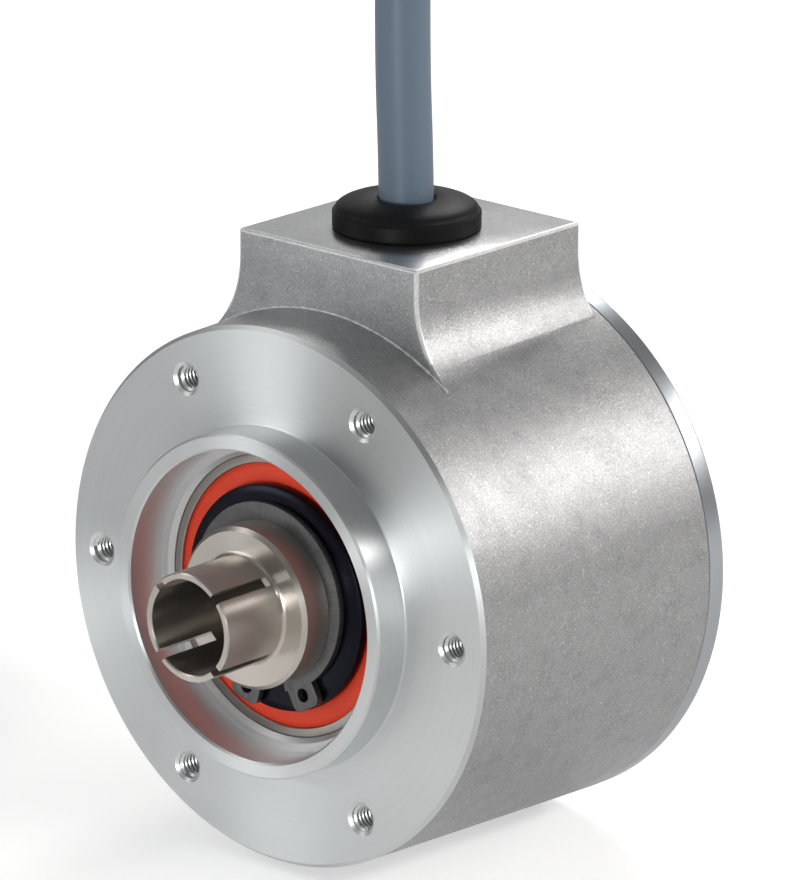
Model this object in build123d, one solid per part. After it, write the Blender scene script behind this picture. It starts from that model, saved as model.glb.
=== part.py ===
from build123d import *
import math
import os

# Incremental rotary encoder with a slotted hollow shaft, in millimetres.
# The origin is the middle of the six threaded holes on the front flange face.
# The shaft turns about Y and comes out towards -Y; the cable leaves upwards, towards +Z.

# Housing, with a draft that makes the casting wider towards its back
flange_r = 40.0
flange_chamfer = 0.6
cast_draft = 1.4
cast_length = 48.0
cast_wall = 4.9
spigot_wall = 2.4
spigot_height = 5.8
spigot_edge = 0.3
recess_step = 2.0
ledge_depth = 0.9
seat_lead_in = 0.7
front_wall = 13.0
hub_wall = 4.0
register_step = 1.0
register_length = 3.5

# Mounting holes in the flange face
flange_hole_inset = 6.0
flange_holes = 6
flange_hole_r = 2.0
flange_hole_depth = 9.0
flange_sink_r = 2.55
flange_sink_angle = 120.0
drill_point_angle = 118.0

# Cable boss on top of the housing
boss_width = 34.2
boss_front = 11.2
boss_rear_step = 1.1
boss_rise = 9.7
boss_flare_radius = 16.0
boss_edge_radius = 0.5
boss_top_edge = 0.25
boss_wall = 4.6
chamber_sink = 8.0
outlet_y = 28.4
outlet_hole_r = 7.5

# Back cover
cover_thick = 3.5
cover_chamfer = 0.5
cover_fit = 0.03
cover_lug_r = 4.5
cover_screw_inset = 4.9
cover_screw_count = 4
cover_screw_r = 1.5
cover_screw_play = 0.2
cover_screw_thread_gap = 0.08
cover_screw_head_r = 2.8
cover_screw_head_height = 1.6
cover_screw_head_sink = 0.1
cover_screw_length = 12.5
cover_screw_hole_depth = 11.0
cover_plug_gap = 0.05
cover_groove_offset = 1.0
cover_groove_play = 0.2
cover_seal_thick = 1.6
cover_seal_squeeze = 0.2
cover_seal_fit = 0.01

# Ball bearings, both alike
bearing_bore_r = 12.5
bearing_outer_r = 21.0
bearing_width = 9.0
bearing_edge = 0.4
inner_land_drop = 1.65
outer_land_rise = 1.75
ball_r = 2.38
ball_count = 14
ball_facets = 10
race_play = 0.02
race_facets = 6
seal_groove_wall = 1.4
seal_recess = 0.35
seal_thick = 0.75
seal_lip_gap = 0.25
seal_lip_slope = 0.8
seal_lip_sink = 0.3
seal_rim_slope = 0.35
seal_rim_sink = 0.18
seal_fit = 0.02
cage_gap = 0.3
cage_half_width = 2.9
cage_ball_play = 0.04
bearing_spacing = 4.0
outer_shoulder = 2.6
spring_thick = 0.4
spring_bow = 0.9
spring_rim_gap = 0.3
spring_fit = 0.02

# Hollow shaft
shaft_nose_step = 0.5
shaft_nose_y = -6.5
shaft_nose_chamfer = 0.6
collet_r = 8.0
collet_bore_r = 7.0
collet_front_y = -18.1
collet_root_radius = 0.7
collet_mouth_edge = 0.2
slot_width = 1.5
slot_end_y = -7.3
slot_count = 4
shaft_bore_depth = 42.0
shaft_fit = 0.01
shoulder_step = 2.0
shoulder_thick = 3.4
tail_r = 9.0
tail_length = 3.2

# Circlip and slinger in front of the front bearing
circlip_thick = 1.2
circlip_groove_depth = 0.55
circlip_groove_gap = 0.05
circlip_width = 2.55
circlip_offset = 0.6
circlip_play = 0.1
lug_hole_step = 3.05
lug_reach = 5.15
lug_gap_centre = -84.0
lug_half_spread = 22.5
lug_width = 5.2
lug_corner = 1.2
lug_hole_r = 1.0
lug_gap_half_angle = 9.0
slinger_overlap = 1.7
slinger_edge = 0.4
slinger_thick = 1.8
slinger_slope = 0.3
slinger_slope_width = 2.2
slinger_gap = 0.25

# Code disc and its hub
hub_thick = 1.7
hub_rim = 3.2
hub_register_step = 0.3
hub_register_height = 0.6
hub_fit = 0.03
disc_fit = 0.03
disc_lug_gap = 0.6
disc_thick = 0.9
hub_screw_inset = 2.5
hub_screw_count = 3
hub_screw_r = 1.0
hub_screw_play = 0.1
hub_screw_thread_gap = 0.05
hub_screw_head_r = 1.9
hub_screw_head_height = 1.3
hub_screw_length = 4.2
hub_screw_hole_depth = 2.6
hub_socket_r = 0.85
hub_socket_depth = 0.8

# Circuit board and what it carries
board_thick = 1.6
board_gap = 1.0
board_lug_gap = 0.8
board_centre_hole_r = 5.0
standoff_r = 2.75
standoff_inset = 3.5
standoff_angles = (-90.0, 30.0, 150.0)
board_screw_r = 1.5
board_screw_play = 0.1
board_screw_thread_gap = 0.05
board_screw_head_r = 2.75
board_screw_head_height = 1.8
board_screw_head_edge = 0.6
board_screw_length = 6.0
board_screw_hole_depth = 7.0
board_socket_r = 1.0
board_socket_depth = 0.9
cover_socket_r = 1.15
cover_socket_depth = 1.1
sensor_track_inset = 3.0
sensor_width = 9.0
sensor_height = 11.0
sensor_depth = 3.0
sensor_gap = 0.8
mask_thick = 0.6
mask_margin = 1.2
lamp_arm_gap = 0.9
lamp_arm_thick = 3.0
lamp_arm_width = 9.0
lamp_post_gap = 1.9
lamp_post_width = 5.0
lamp_r = 2.4
lamp_fit = 0.03
lamp_wall = 1.6
lamp_proud = 0.4
header_width = 13.0
header_height = 4.4
header_depth = 4.0
header_inset = 6.6
chip_sizes = ((9.0, 6.0, 1.8), (6.5, 5.0, 1.5), (5.0, 4.0, 1.2), (7.0, 3.5, 2.4))
chip_insets = (20.5, 18.0, 10.4, 11.6)
chip_angles = (-90.0, 166.8, -118.6, -57.0)

# Cable and its grommet
cable_r = 4.0
cable_end_margin = 0.1
grommet_r = 10.8
grommet_band = 2.5
grommet_rise = 4.4
grommet_dome_r = 5.5
grommet_dome_facets = 4
grommet_mouth_edge = 0.3
grommet_neck_play = 0.02
grommet_cable_play = 0.05
grommet_inner_flange_r = 9.0
grommet_inner_flange = 1.6
crimp_r = 5.3
crimp_length = 5.4
crimp_edge = 0.4
crimp_play = 0.02
wire_r = 0.44
wire_count = 6
wire_pitch = 1.0
wire_inset = 1.05

# Coil of the spare cable, which lies on the same surface as the housing
coil_outer_r = 44.0
coil_strands_across = 2
coil_strands_high = 2
coil_centre = (-118.0, -4.4)
coil_edge = 2.4

# The view that leaves the cable's loop out of sight runs along these two ground directions
aside = (-0.747, -0.665)
away = (-0.665, 0.747)

# Radii and heights of the housing that follow from those above
cast_rear_r = flange_r + cast_draft
wall_draft = cast_draft / cast_length
cavity_r = cast_rear_r - cast_wall
register_r = cavity_r + register_step
spigot_bore_r = bearing_outer_r + recess_step
spigot_r = spigot_bore_r + spigot_wall
hub_r = bearing_outer_r + hub_wall
flange_hole_circle_r = flange_r - flange_hole_inset
cover_screw_circle_r = register_r - cover_screw_inset
boss_top = flange_r + boss_rise
boss_rear = cast_length - boss_rear_step
boss_ceiling_z = boss_top - boss_wall
floor_z = -cast_rear_r

# Radii of the bearings, the shaft and what sits on it
pitch_r = (bearing_bore_r + bearing_outer_r) / 2
race_r = ball_r + race_play
inner_land_r = pitch_r - inner_land_drop
outer_land_r = pitch_r + outer_land_rise
seal_groove_r = bearing_outer_r - seal_groove_wall
shaft_seat_r = bearing_bore_r
shaft_nose_r = shaft_seat_r - shaft_nose_step
shoulder_r = shaft_seat_r + shoulder_step
circlip_groove_r = shaft_nose_r - circlip_groove_depth
circlip_outer_r = circlip_groove_r + circlip_width
lug_circle_r = circlip_groove_r + lug_hole_step
lug_outer_r = circlip_groove_r + lug_reach
slinger_r = inner_land_r + slinger_overlap
hub_register_r = shoulder_r + hub_register_step
hub_outer_r = hub_register_r + hub_rim
hub_screw_circle_r = shoulder_r - hub_screw_inset
disc_outer_r = cover_screw_circle_r - cover_lug_r - disc_lug_gap

# Places along the shaft axis
front_bearing_y = ledge_depth + seat_lead_in
rear_bearing_y = front_bearing_y + bearing_width + bearing_spacing
hub_end_y = rear_bearing_y + bearing_width
shoulder_end_y = hub_end_y + shoulder_thick
disc_y = shoulder_end_y + hub_thick
disc_rear_y = disc_y + disc_thick
hub_face_y = disc_y + hub_register_height
circlip_back_y = front_bearing_y - slinger_thick
circlip_front_y = circlip_back_y - circlip_thick
register_y = cast_length - register_length
rear_y = cast_length + cover_thick
board_y = disc_rear_y + sensor_gap + mask_thick + sensor_depth

# Places of the electronics and the cable
board_r = cavity_r - board_gap
standoff_circle_r = board_r - standoff_inset
sensor_track_r = disc_outer_r - sensor_track_inset
lamp_post_outer_r = cavity_r - lamp_post_gap
lamp_post_inner_r = lamp_post_outer_r - lamp_post_width
lamp_arm_rear_y = disc_y - lamp_arm_gap
lamp_arm_front_y = lamp_arm_rear_y - lamp_arm_thick
header_bottom_z = cavity_r - header_inset
grommet_top_z = boss_top + grommet_rise
grommet_bottom_z = boss_ceiling_z - grommet_inner_flange
cable_bottom_z = grommet_bottom_z - crimp_length - cable_end_margin


def on_circle(radius, degrees, y=0.0):
    angle = math.radians(degrees)
    return (radius * math.cos(angle), y, radius * math.sin(angle))


def turned(points):
    """A solid turned about the shaft axis from (radius, y) points."""
    outline = Polyline(*[(r, y) for r, y in points], close=True)
    return revolve(make_face(outline), Axis.Y)


def arc_points(centre_r, centre_y, radius, start, end, facets):
    """Evenly spaced (radius, y) points on an arc, its angles counted from +radius towards +y."""
    points = []
    for index in range(facets + 1):
        angle = math.radians(start + (end - start) * index / facets)
        points.append((centre_r + radius * math.cos(angle), centre_y + radius * math.sin(angle)))
    return points


def ring(inner_r, outer_r, y0, y1):
    """A plain ring about the shaft axis between two planes."""
    return turned([(inner_r, y0), (outer_r, y0), (outer_r, y1), (inner_r, y1)])


def rod(radius, length, place, direction=(0, 1, 0)):
    """A round bar that starts at a place and runs along a direction."""
    plane = Plane(origin=place, z_dir=direction)
    return extrude(plane * Circle(radius), length)


def block(x, y, z, centre_x, front_y, bottom_z):
    """A box given by its middle in X, its front in Y and its bottom in Z."""
    place = Pos(centre_x, front_y + y / 2, bottom_z + z / 2)
    return place * Box(x, y, z)


def spread(shape, count, start=0.0):
    """Copies of a shape, spaced evenly about the shaft axis."""
    step = 360.0 / count
    return [shape.rotate(Axis.Y, -(start + index * step)) for index in range(count)]


def save(shape, node):
    export_step(shape, f"parts/{node}.step")


def save_group(solids, node):
    save(Compound(children=list(solids)), node)


# Housing and its cover

def housing_outside():
    outline = [
        (0, -spigot_height),
        (spigot_r - spigot_edge, -spigot_height),
        (spigot_r, -spigot_height + spigot_edge),
        (spigot_r, 0),
        (flange_r - flange_chamfer, 0),
        (flange_r, flange_chamfer),
        (cast_rear_r, cast_length),
        (0, cast_length),
    ]
    return turned(outline) + cable_boss()


def boss_profile():
    """The boss seen from the front: upright sides that flare into the round wall."""
    half = boss_width / 2
    centre_x = half + boss_flare_radius
    wall_r = flange_r + wall_draft * boss_front
    centre_z = math.sqrt((wall_r + boss_flare_radius) ** 2 - centre_x ** 2)
    share = wall_r / (wall_r + boss_flare_radius)
    foot = (centre_x * share, centre_z * share)
    middle = math.radians(180 + math.degrees(math.atan2(centre_z, centre_x)) / 2)
    bend = (
        centre_x + boss_flare_radius * math.cos(middle),
        centre_z + boss_flare_radius * math.sin(middle),
    )
    root_z = flange_r / 2
    right = ThreePointArc((half, centre_z), bend, foot)
    left = ThreePointArc((-half, centre_z), (-bend[0], bend[1]), (-foot[0], foot[1]))
    top = Polyline((-half, centre_z), (-half, boss_top), (half, boss_top), (half, centre_z))
    base = Polyline(foot, (foot[0], root_z), (-foot[0], root_z), (-foot[0], foot[1]))
    return make_face(right + left + top + base)


def cable_boss():
    front_plane = Plane(origin=(0, boss_front, 0), x_dir=(1, 0, 0), z_dir=(0, -1, 0))
    boss = extrude(front_plane * boss_profile(), -(boss_rear - boss_front))
    ends = boss.edges().filter_by_position(Axis.Y, boss_front, boss_front)
    ends += boss.edges().filter_by_position(Axis.Y, boss_rear, boss_rear)
    sides = [e for e in ends if cavity_r - chamber_sink < e.position_at(0.5).Z < boss_top - boss_top_edge]
    boss = chamfer(sides, boss_edge_radius)
    return chamfer(boss.faces().sort_by(Axis.Z)[-1].edges(), boss_top_edge)


def housing_inside():
    spring_room = rear_bearing_y - outer_shoulder
    outline = [
        (0, -spigot_height),
        (spigot_bore_r + spigot_edge, -spigot_height),
        (spigot_bore_r, -spigot_height + spigot_edge),
        (spigot_bore_r, ledge_depth),
        (bearing_outer_r + seat_lead_in, ledge_depth),
        (bearing_outer_r, ledge_depth + seat_lead_in),
        (bearing_outer_r, spring_room),
        (outer_land_r, spring_room),
        (outer_land_r, rear_bearing_y),
        (bearing_outer_r, rear_bearing_y),
        (bearing_outer_r, hub_end_y),
        (hub_r, hub_end_y),
        (hub_r, front_wall),
        (cavity_r, front_wall),
        (cavity_r, register_y),
        (register_r, register_y),
        (register_r, cast_length),
        (0, cast_length),
    ]
    return turned(outline)


def flange_hole():
    """One threaded hole with its sink and drill point, on the +X side."""
    point_length = flange_hole_r / math.tan(math.radians(drill_point_angle / 2))
    sink = (flange_sink_r - flange_hole_r) / math.tan(math.radians(flange_sink_angle / 2))
    outline = Polyline(
        (0, 0),
        (flange_sink_r, 0),
        (flange_hole_r, sink),
        (flange_hole_r, flange_hole_depth),
        (0, flange_hole_depth + point_length),
        close=True,
    )
    return Pos(flange_hole_circle_r, 0, 0) * revolve(make_face(outline), Axis.Y)


def boss_chamber():
    """The room under the boss, open to the cavity, where the cable's cores come in."""
    width = boss_width - 2 * boss_wall
    length = boss_rear - boss_front - 2 * boss_wall
    bottom = cavity_r - chamber_sink
    return block(width, length, boss_ceiling_z - bottom, 0, boss_front + boss_wall, bottom)


def make_housing():
    shell = housing_outside() - housing_inside() - boss_chamber()
    shell -= rod(outlet_hole_r, 2 * boss_wall, (0, outlet_y, boss_ceiling_z - boss_wall / 2), (0, 0, 1))
    lug = rod(cover_lug_r, register_y - front_wall, (cover_screw_circle_r, front_wall, 0))
    for copy in spread(lug, cover_screw_count, 45):
        shell += copy
    hole_start = (cover_screw_circle_r, register_y - cover_screw_hole_depth, 0)
    hole = rod(cover_screw_r, cover_screw_hole_depth, hole_start)
    for cut in spread(hole, cover_screw_count, 45):
        shell -= cut
    for cut in spread(flange_hole(), flange_holes):
        shell -= cut
    pilot_y = front_wall - board_screw_hole_depth
    for degrees in standoff_angles:
        pilot_start = on_circle(standoff_circle_r, degrees, pilot_y)
        shell -= rod(board_screw_r, board_screw_hole_depth, pilot_start)
    return shell


def make_back_cover():
    plug_r = register_r - cover_fit
    groove_r = plug_r - cover_seal_thick + cover_seal_squeeze
    plug_front = register_y + cover_plug_gap
    groove_front = register_y + cover_groove_offset
    groove_rear = groove_front + cover_seal_thick + cover_groove_play
    outline = [
        (0, plug_front),
        (plug_r, plug_front),
        (plug_r, groove_front),
        (groove_r, groove_front),
        (groove_r, groove_rear),
        (plug_r, groove_rear),
        (plug_r, cast_length),
        (cast_rear_r, cast_length),
        (cast_rear_r, rear_y - cover_chamfer),
        (cast_rear_r - cover_chamfer, rear_y),
        (0, rear_y),
    ]
    cover = turned(outline)
    hole_length = cover_thick + 2 * register_length
    hole_start = (cover_screw_circle_r, rear_y - hole_length, 0)
    hole = rod(cover_screw_r + cover_screw_play, hole_length, hole_start)
    sink = Pos(cover_screw_circle_r, 0, 0) * turned([
        (0, rear_y),
        (cover_screw_head_r + cover_screw_head_sink, rear_y),
        (cover_screw_r, rear_y - cover_screw_head_height),
        (0, rear_y - cover_screw_head_height),
    ])
    for cut in spread(hole, cover_screw_count, 45) + spread(sink, cover_screw_count, 45):
        cover -= cut
    return cover


def make_cover_seal():
    """The O-ring of the cover, squeezed in its groove, with an eight-sided section."""
    outer_r = register_r - cover_seal_fit
    inner_r = register_r - cover_fit - cover_seal_thick + cover_seal_squeeze + cover_seal_fit
    seal_r = (outer_r - inner_r) / 2
    middle_y = register_y + cover_groove_offset + (cover_seal_thick + cover_groove_play) / 2
    section = Pos((outer_r + inner_r) / 2, middle_y) * RegularPolygon(seal_r, 8)
    return revolve(section, Axis.Y)


def make_cover_screws():
    """Countersunk screws with a hexagon socket."""
    shank_r = cover_screw_r - cover_screw_thread_gap
    head_y = rear_y - cover_screw_head_sink
    outline = [
        (0, head_y - cover_screw_length),
        (shank_r, head_y - cover_screw_length),
        (shank_r, rear_y - cover_screw_head_height),
        (cover_screw_head_r, head_y),
        (0, head_y),
    ]
    socket = Plane(origin=(0, head_y, 0), z_dir=(0, -1, 0)) * RegularPolygon(cover_socket_r, 6)
    screw = turned(outline) - extrude(socket, cover_socket_depth)
    return spread(Pos(cover_screw_circle_r, 0, 0) * screw, cover_screw_count, 45)


# Ball bearings

def race_points(land_r, middle_y, rising):
    """The raceway's arc where it cuts into a ring's land, with its facets outside the ball."""
    reach = land_r - pitch_r
    half = math.degrees(math.acos(abs(reach) / race_r))
    middle = 0 if reach > 0 else 180
    turn = half if (reach > 0) == rising else -half
    outside_r = race_r / math.cos(math.radians(half / race_facets))
    arc = arc_points(pitch_r, middle_y, outside_r, middle - turn, middle + turn, race_facets)
    return [point for point in arc if abs(point[0] - pitch_r) > abs(reach)]


def make_outer_ring(front_y):
    rear = front_y + bearing_width
    step = seal_recess + seal_thick
    outline = [
        (seal_groove_r, front_y),
        (bearing_outer_r - bearing_edge, front_y),
        (bearing_outer_r, front_y + bearing_edge),
        (bearing_outer_r, rear - bearing_edge),
        (bearing_outer_r - bearing_edge, rear),
        (seal_groove_r, rear),
        (seal_groove_r, rear - step),
        (outer_land_r, rear - step),
        *race_points(outer_land_r, front_y + bearing_width / 2, False),
        (outer_land_r, front_y + step),
        (seal_groove_r, front_y + step),
    ]
    return turned(outline)


def make_inner_ring(front_y):
    rear = front_y + bearing_width
    outline = [
        (shaft_seat_r + shaft_fit, front_y),
        (inner_land_r - bearing_edge, front_y),
        (inner_land_r, front_y + bearing_edge),
        *race_points(inner_land_r, front_y + bearing_width / 2, True),
        (inner_land_r, rear - bearing_edge),
        (inner_land_r - bearing_edge, rear),
        (shaft_seat_r + shaft_fit, rear),
    ]
    return turned(outline)


def make_bearing_seal(outside_y, inwards):
    """A rubber seal held in the outer ring, with a thin lip at the inner ring."""
    face = outside_y + inwards * seal_recess
    back = face + inwards * (seal_thick - seal_fit)
    lip_r = inner_land_r + seal_lip_gap
    outline = [
        (lip_r, face + inwards * seal_lip_sink),
        (lip_r + seal_lip_slope, face),
        (seal_groove_r - seal_rim_slope, face),
        (seal_groove_r - seal_fit, face + inwards * seal_rim_sink),
        (seal_groove_r - seal_fit, back),
        (lip_r, back),
    ]
    return turned(outline)


def make_balls(front_y):
    """Balls turned from a many-sided half circle, each about an axis along the shaft."""
    outline = arc_points(0, 0, ball_r, -90, 90, ball_facets)
    ball = Pos(pitch_r, front_y + bearing_width / 2, 0) * turned(outline)
    return spread(ball, ball_count)


def make_cage(front_y):
    middle_y = front_y + bearing_width / 2
    cage = ring(
        inner_land_r + cage_gap,
        outer_land_r - cage_gap,
        middle_y - cage_half_width,
        middle_y + cage_half_width,
    )
    pocket_r = ball_r + cage_ball_play
    pocket = rod(pocket_r, bearing_outer_r - bearing_bore_r, (bearing_bore_r, middle_y, 0), (1, 0, 0))
    for cut in spread(pocket, ball_count):
        cage -= cut
    return cage


def make_preload_spring():
    """A bowed spring washer between the housing's shoulder and the front outer ring."""
    inner_r = outer_land_r + spring_rim_gap
    outer_r = bearing_outer_r - spring_rim_gap
    bow_r = (outer_r ** 2 + spring_bow ** 2) / (2 * spring_bow)
    back_y = rear_bearing_y - outer_shoulder - spring_fit
    washer = ring(inner_r, outer_r, front_bearing_y + bearing_width, back_y)
    band_start = (0, back_y - bow_r, -bearing_outer_r)
    band_length = 2 * bearing_outer_r
    band = rod(bow_r, band_length, band_start, (0, 0, 1))
    band -= rod(bow_r - spring_thick, band_length, band_start, (0, 0, 1))
    return washer & band


# Shaft and what turns with it

def make_hollow_shaft():
    root = collet_root_radius
    edge = collet_mouth_edge
    groove_front = circlip_front_y - circlip_groove_gap
    groove_rear = circlip_back_y + circlip_groove_gap
    groove_r = circlip_groove_r - circlip_play
    outline = [
        (0, collet_front_y),
        (collet_r - edge, collet_front_y),
        (collet_r, collet_front_y + edge),
        *reversed(arc_points(collet_r + root, shaft_nose_y - root, root, 90, 180, 3)),
        (shaft_nose_r - shaft_nose_chamfer, shaft_nose_y),
        (shaft_nose_r, shaft_nose_y + shaft_nose_chamfer),
        (shaft_nose_r, groove_front),
        (groove_r, groove_front),
        (groove_r, groove_rear),
        (shaft_nose_r, groove_rear),
        (shaft_seat_r, groove_rear + shaft_nose_step),
        (shaft_seat_r, hub_end_y),
        (shoulder_r, hub_end_y),
        (shoulder_r, shoulder_end_y),
        (tail_r, shoulder_end_y),
        (tail_r, shoulder_end_y + tail_length),
        (0, shoulder_end_y + tail_length),
    ]
    bore_end = collet_front_y + shaft_bore_depth
    point_length = collet_bore_r / math.tan(math.radians(drill_point_angle / 2))
    shaft = turned(outline) - turned([
        (0, collet_front_y),
        (collet_bore_r + edge, collet_front_y),
        (collet_bore_r, collet_front_y + edge),
        (collet_bore_r, bore_end),
        (0, bore_end + point_length),
    ])
    slot_length = 2 * (slot_end_y - collet_front_y)
    slot_front = slot_end_y - slot_length
    slot = block(2 * collet_r, slot_length, slot_width, collet_r, slot_front, -slot_width / 2)
    for cut in spread(slot, slot_count, 45):
        shaft -= cut
    hole_start = (hub_screw_circle_r, shoulder_end_y - hub_screw_hole_depth, 0)
    hole = rod(hub_screw_r, hub_screw_hole_depth, hole_start)
    for cut in spread(hole, hub_screw_count, 90):
        shaft -= cut
    return shaft


def make_circlip():
    """An external retaining ring, wide at the top, with two drilled lugs at the bottom."""
    centre = math.radians(lug_gap_centre)
    shift = (-circlip_offset * math.cos(centre), -circlip_offset * math.sin(centre))
    profile = Pos(*shift) * Circle(circlip_outer_r)
    lug_length = lug_outer_r - circlip_groove_r
    lug_middle_r = (lug_outer_r + circlip_groove_r) / 2
    for side in (-1, 1):
        degrees = lug_gap_centre + side * lug_half_spread
        lug = RectangleRounded(lug_length, lug_width, lug_corner)
        x, _, z = on_circle(lug_middle_r, degrees)
        profile += Pos(x, z) * Rot(0, 0, degrees) * lug
    profile -= Circle(circlip_groove_r)
    half = math.radians(lug_gap_half_angle)
    reach = lug_outer_r * 1.5
    wedge = Polyline(
        (0, 0),
        (reach * math.cos(centre - half), reach * math.sin(centre - half)),
        (reach * math.cos(centre + half), reach * math.sin(centre + half)),
        close=True,
    )
    profile -= make_face(wedge)
    for side in (-1, 1):
        x, _, z = on_circle(lug_circle_r, lug_gap_centre + side * lug_half_spread)
        profile -= Pos(x, z) * Circle(lug_hole_r)
    face_plane = Plane(origin=(0, circlip_back_y, 0), x_dir=(1, 0, 0), z_dir=(0, -1, 0))
    return extrude(face_plane * profile, circlip_thick)


def make_slinger():
    front = circlip_back_y
    rear = front_bearing_y
    bore_r = shaft_seat_r + shaft_fit
    slope_start_r = slinger_r - slinger_slope_width
    plate_rear = rear - slinger_gap
    outline = [
        (bore_r, front + slinger_edge),
        (bore_r + slinger_edge, front),
        (slope_start_r, front),
        (slinger_r - slinger_edge, front + slinger_slope),
        (slinger_r, front + slinger_slope + slinger_edge),
        (slinger_r, plate_rear),
        (inner_land_r - bearing_edge, plate_rear),
        (inner_land_r - bearing_edge, rear),
        (bore_r, rear),
    ]
    return turned(outline)


def make_spacer_sleeve():
    front = front_bearing_y + bearing_width
    return ring(shaft_seat_r + shaft_fit, inner_land_r - bearing_edge, front, rear_bearing_y)


def make_disc_hub():
    inner = tail_r + hub_fit
    outline = [
        (inner, shoulder_end_y),
        (hub_outer_r, shoulder_end_y),
        (hub_outer_r, disc_y),
        (hub_register_r - disc_fit, disc_y),
        (hub_register_r - disc_fit, hub_face_y),
        (inner, hub_face_y),
    ]
    hub = turned(outline)
    hole = rod(hub_screw_r + hub_screw_play, 2 * hub_thick, (hub_screw_circle_r, shoulder_end_y, 0))
    for cut in spread(hole, hub_screw_count, 90):
        hub -= cut
    return hub


def make_code_disc():
    return ring(hub_register_r, disc_outer_r, disc_y, disc_rear_y)


def make_hub_screws():
    shank_start = (hub_screw_circle_r, hub_face_y - hub_screw_length, 0)
    shank = rod(hub_screw_r - hub_screw_thread_gap, hub_screw_length, shank_start)
    head = rod(hub_screw_head_r, hub_screw_head_height, (hub_screw_circle_r, hub_face_y, 0))
    top_place = (hub_screw_circle_r, hub_face_y + hub_screw_head_height, 0)
    socket_plane = Plane(origin=top_place, z_dir=(0, -1, 0))
    socket = extrude(socket_plane * RegularPolygon(hub_socket_r, 6), hub_socket_depth)
    return spread(shank + head - socket, hub_screw_count, 90)


# Electronics

def make_circuit_board():
    board = ring(board_centre_hole_r, board_r, board_y, board_y + board_thick)
    notch = rod(cover_lug_r + board_lug_gap, board_thick, (cover_screw_circle_r, board_y, 0))
    for cut in spread(notch, cover_screw_count, 45):
        board -= cut
    for degrees in standoff_angles:
        place = on_circle(standoff_circle_r, degrees, board_y)
        board -= rod(board_screw_r + board_screw_play, board_thick, place)
    return board


def make_standoffs():
    """Hexagonal pillars with a stud that screws into the housing."""
    pillars = []
    shank_r = board_screw_r - board_screw_thread_gap
    for degrees in standoff_angles:
        plane = Plane(origin=on_circle(standoff_circle_r, degrees, front_wall), z_dir=(0, 1, 0))
        pillar = extrude(plane * RegularPolygon(standoff_r, 6), board_y - front_wall)
        stud_start = on_circle(standoff_circle_r, degrees, front_wall - board_screw_length)
        pillar += rod(shank_r, board_screw_length, stud_start)
        hole_start = on_circle(standoff_circle_r, degrees, board_y - board_screw_hole_depth)
        pillar -= rod(board_screw_r, board_screw_hole_depth, hole_start)
        pillars.append(pillar)
    return pillars


def make_board_screws():
    screws = []
    head_y = board_y + board_thick
    shank_r = board_screw_r - board_screw_thread_gap
    for degrees in standoff_angles:
        shank_place = on_circle(standoff_circle_r, degrees, head_y - board_screw_length)
        shank = rod(shank_r, board_screw_length, shank_place)
        head_place = on_circle(standoff_circle_r, degrees, head_y)
        head = rod(board_screw_head_r, board_screw_head_height, head_place)
        head = chamfer(head.edges().group_by(Axis.Y)[-1], board_screw_head_edge)
        top_place = on_circle(standoff_circle_r, degrees, head_y + board_screw_head_height)
        socket = Plane(origin=top_place, z_dir=(0, -1, 0)) * RegularPolygon(board_socket_r, 6)
        screws.append(shank + head - extrude(socket, board_socket_depth))
    return screws


def make_chips():
    chips = []
    face = board_y + board_thick
    for (width, height, depth), inset, degrees in zip(chip_sizes, chip_insets, chip_angles):
        x, y, z = on_circle(board_r - inset, degrees, face)
        chips.append(block(width, depth, height, x, y, z - height / 2))
    return chips


def make_sensor_head():
    front = board_y - sensor_depth
    return block(sensor_height, sensor_depth, sensor_width, sensor_track_r, front, -sensor_width / 2)


def make_sensor_mask():
    front = board_y - sensor_depth - mask_thick
    width = sensor_height - 2 * mask_margin
    height = sensor_width - 2 * mask_margin
    return block(width, mask_thick, height, sensor_track_r, front, -height / 2)


def make_lamp_bracket():
    """A post on the front wall with an arm that reaches over the disc's track."""
    bottom = -lamp_arm_width / 2
    post_x = (lamp_post_inner_r + lamp_post_outer_r) / 2
    post_length = lamp_arm_rear_y - front_wall
    post = block(lamp_post_width, post_length, lamp_arm_width, post_x, front_wall, bottom)
    arm_inner = sensor_track_r - lamp_r - lamp_wall
    arm_length = lamp_post_outer_r - arm_inner
    arm_x = (lamp_post_outer_r + arm_inner) / 2
    arm = block(arm_length, lamp_arm_thick, lamp_arm_width, arm_x, lamp_arm_front_y, bottom)
    return post + arm - rod(lamp_r + lamp_fit, lamp_arm_thick, (sensor_track_r, lamp_arm_front_y, 0))


def make_lamp():
    lamp = rod(lamp_r, lamp_arm_thick + lamp_proud, (sensor_track_r, lamp_arm_front_y, 0))
    return chamfer(lamp.edges().group_by(Axis.Y)[-1], lamp_proud / 2)


def make_wire_header():
    return block(header_width, header_depth, header_height, 0, board_y - header_depth, header_bottom_z)


def make_wires():
    """The cable's cores, from its cut end down to the header."""
    bottom = header_bottom_z + header_height
    y = board_y - header_depth + wire_inset
    wires = []
    for index in range(wire_count):
        x = (index - (wire_count - 1) / 2) * wire_pitch
        wires.append(rod(wire_r, cable_bottom_z - bottom, (x, y, bottom), (0, 0, 1)))
    return wires


# Cable outlet and cable

def dome_points():
    """The grommet's shoulder: a quarter of an ellipse from its band to its top."""
    quarter = arc_points(0, 0, 1, 0, 90, grommet_dome_facets)
    reach = grommet_r - grommet_dome_r
    height = grommet_rise - grommet_band
    return [(grommet_dome_r + reach * u, boss_top + grommet_band + height * v) for u, v in quarter]


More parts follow.
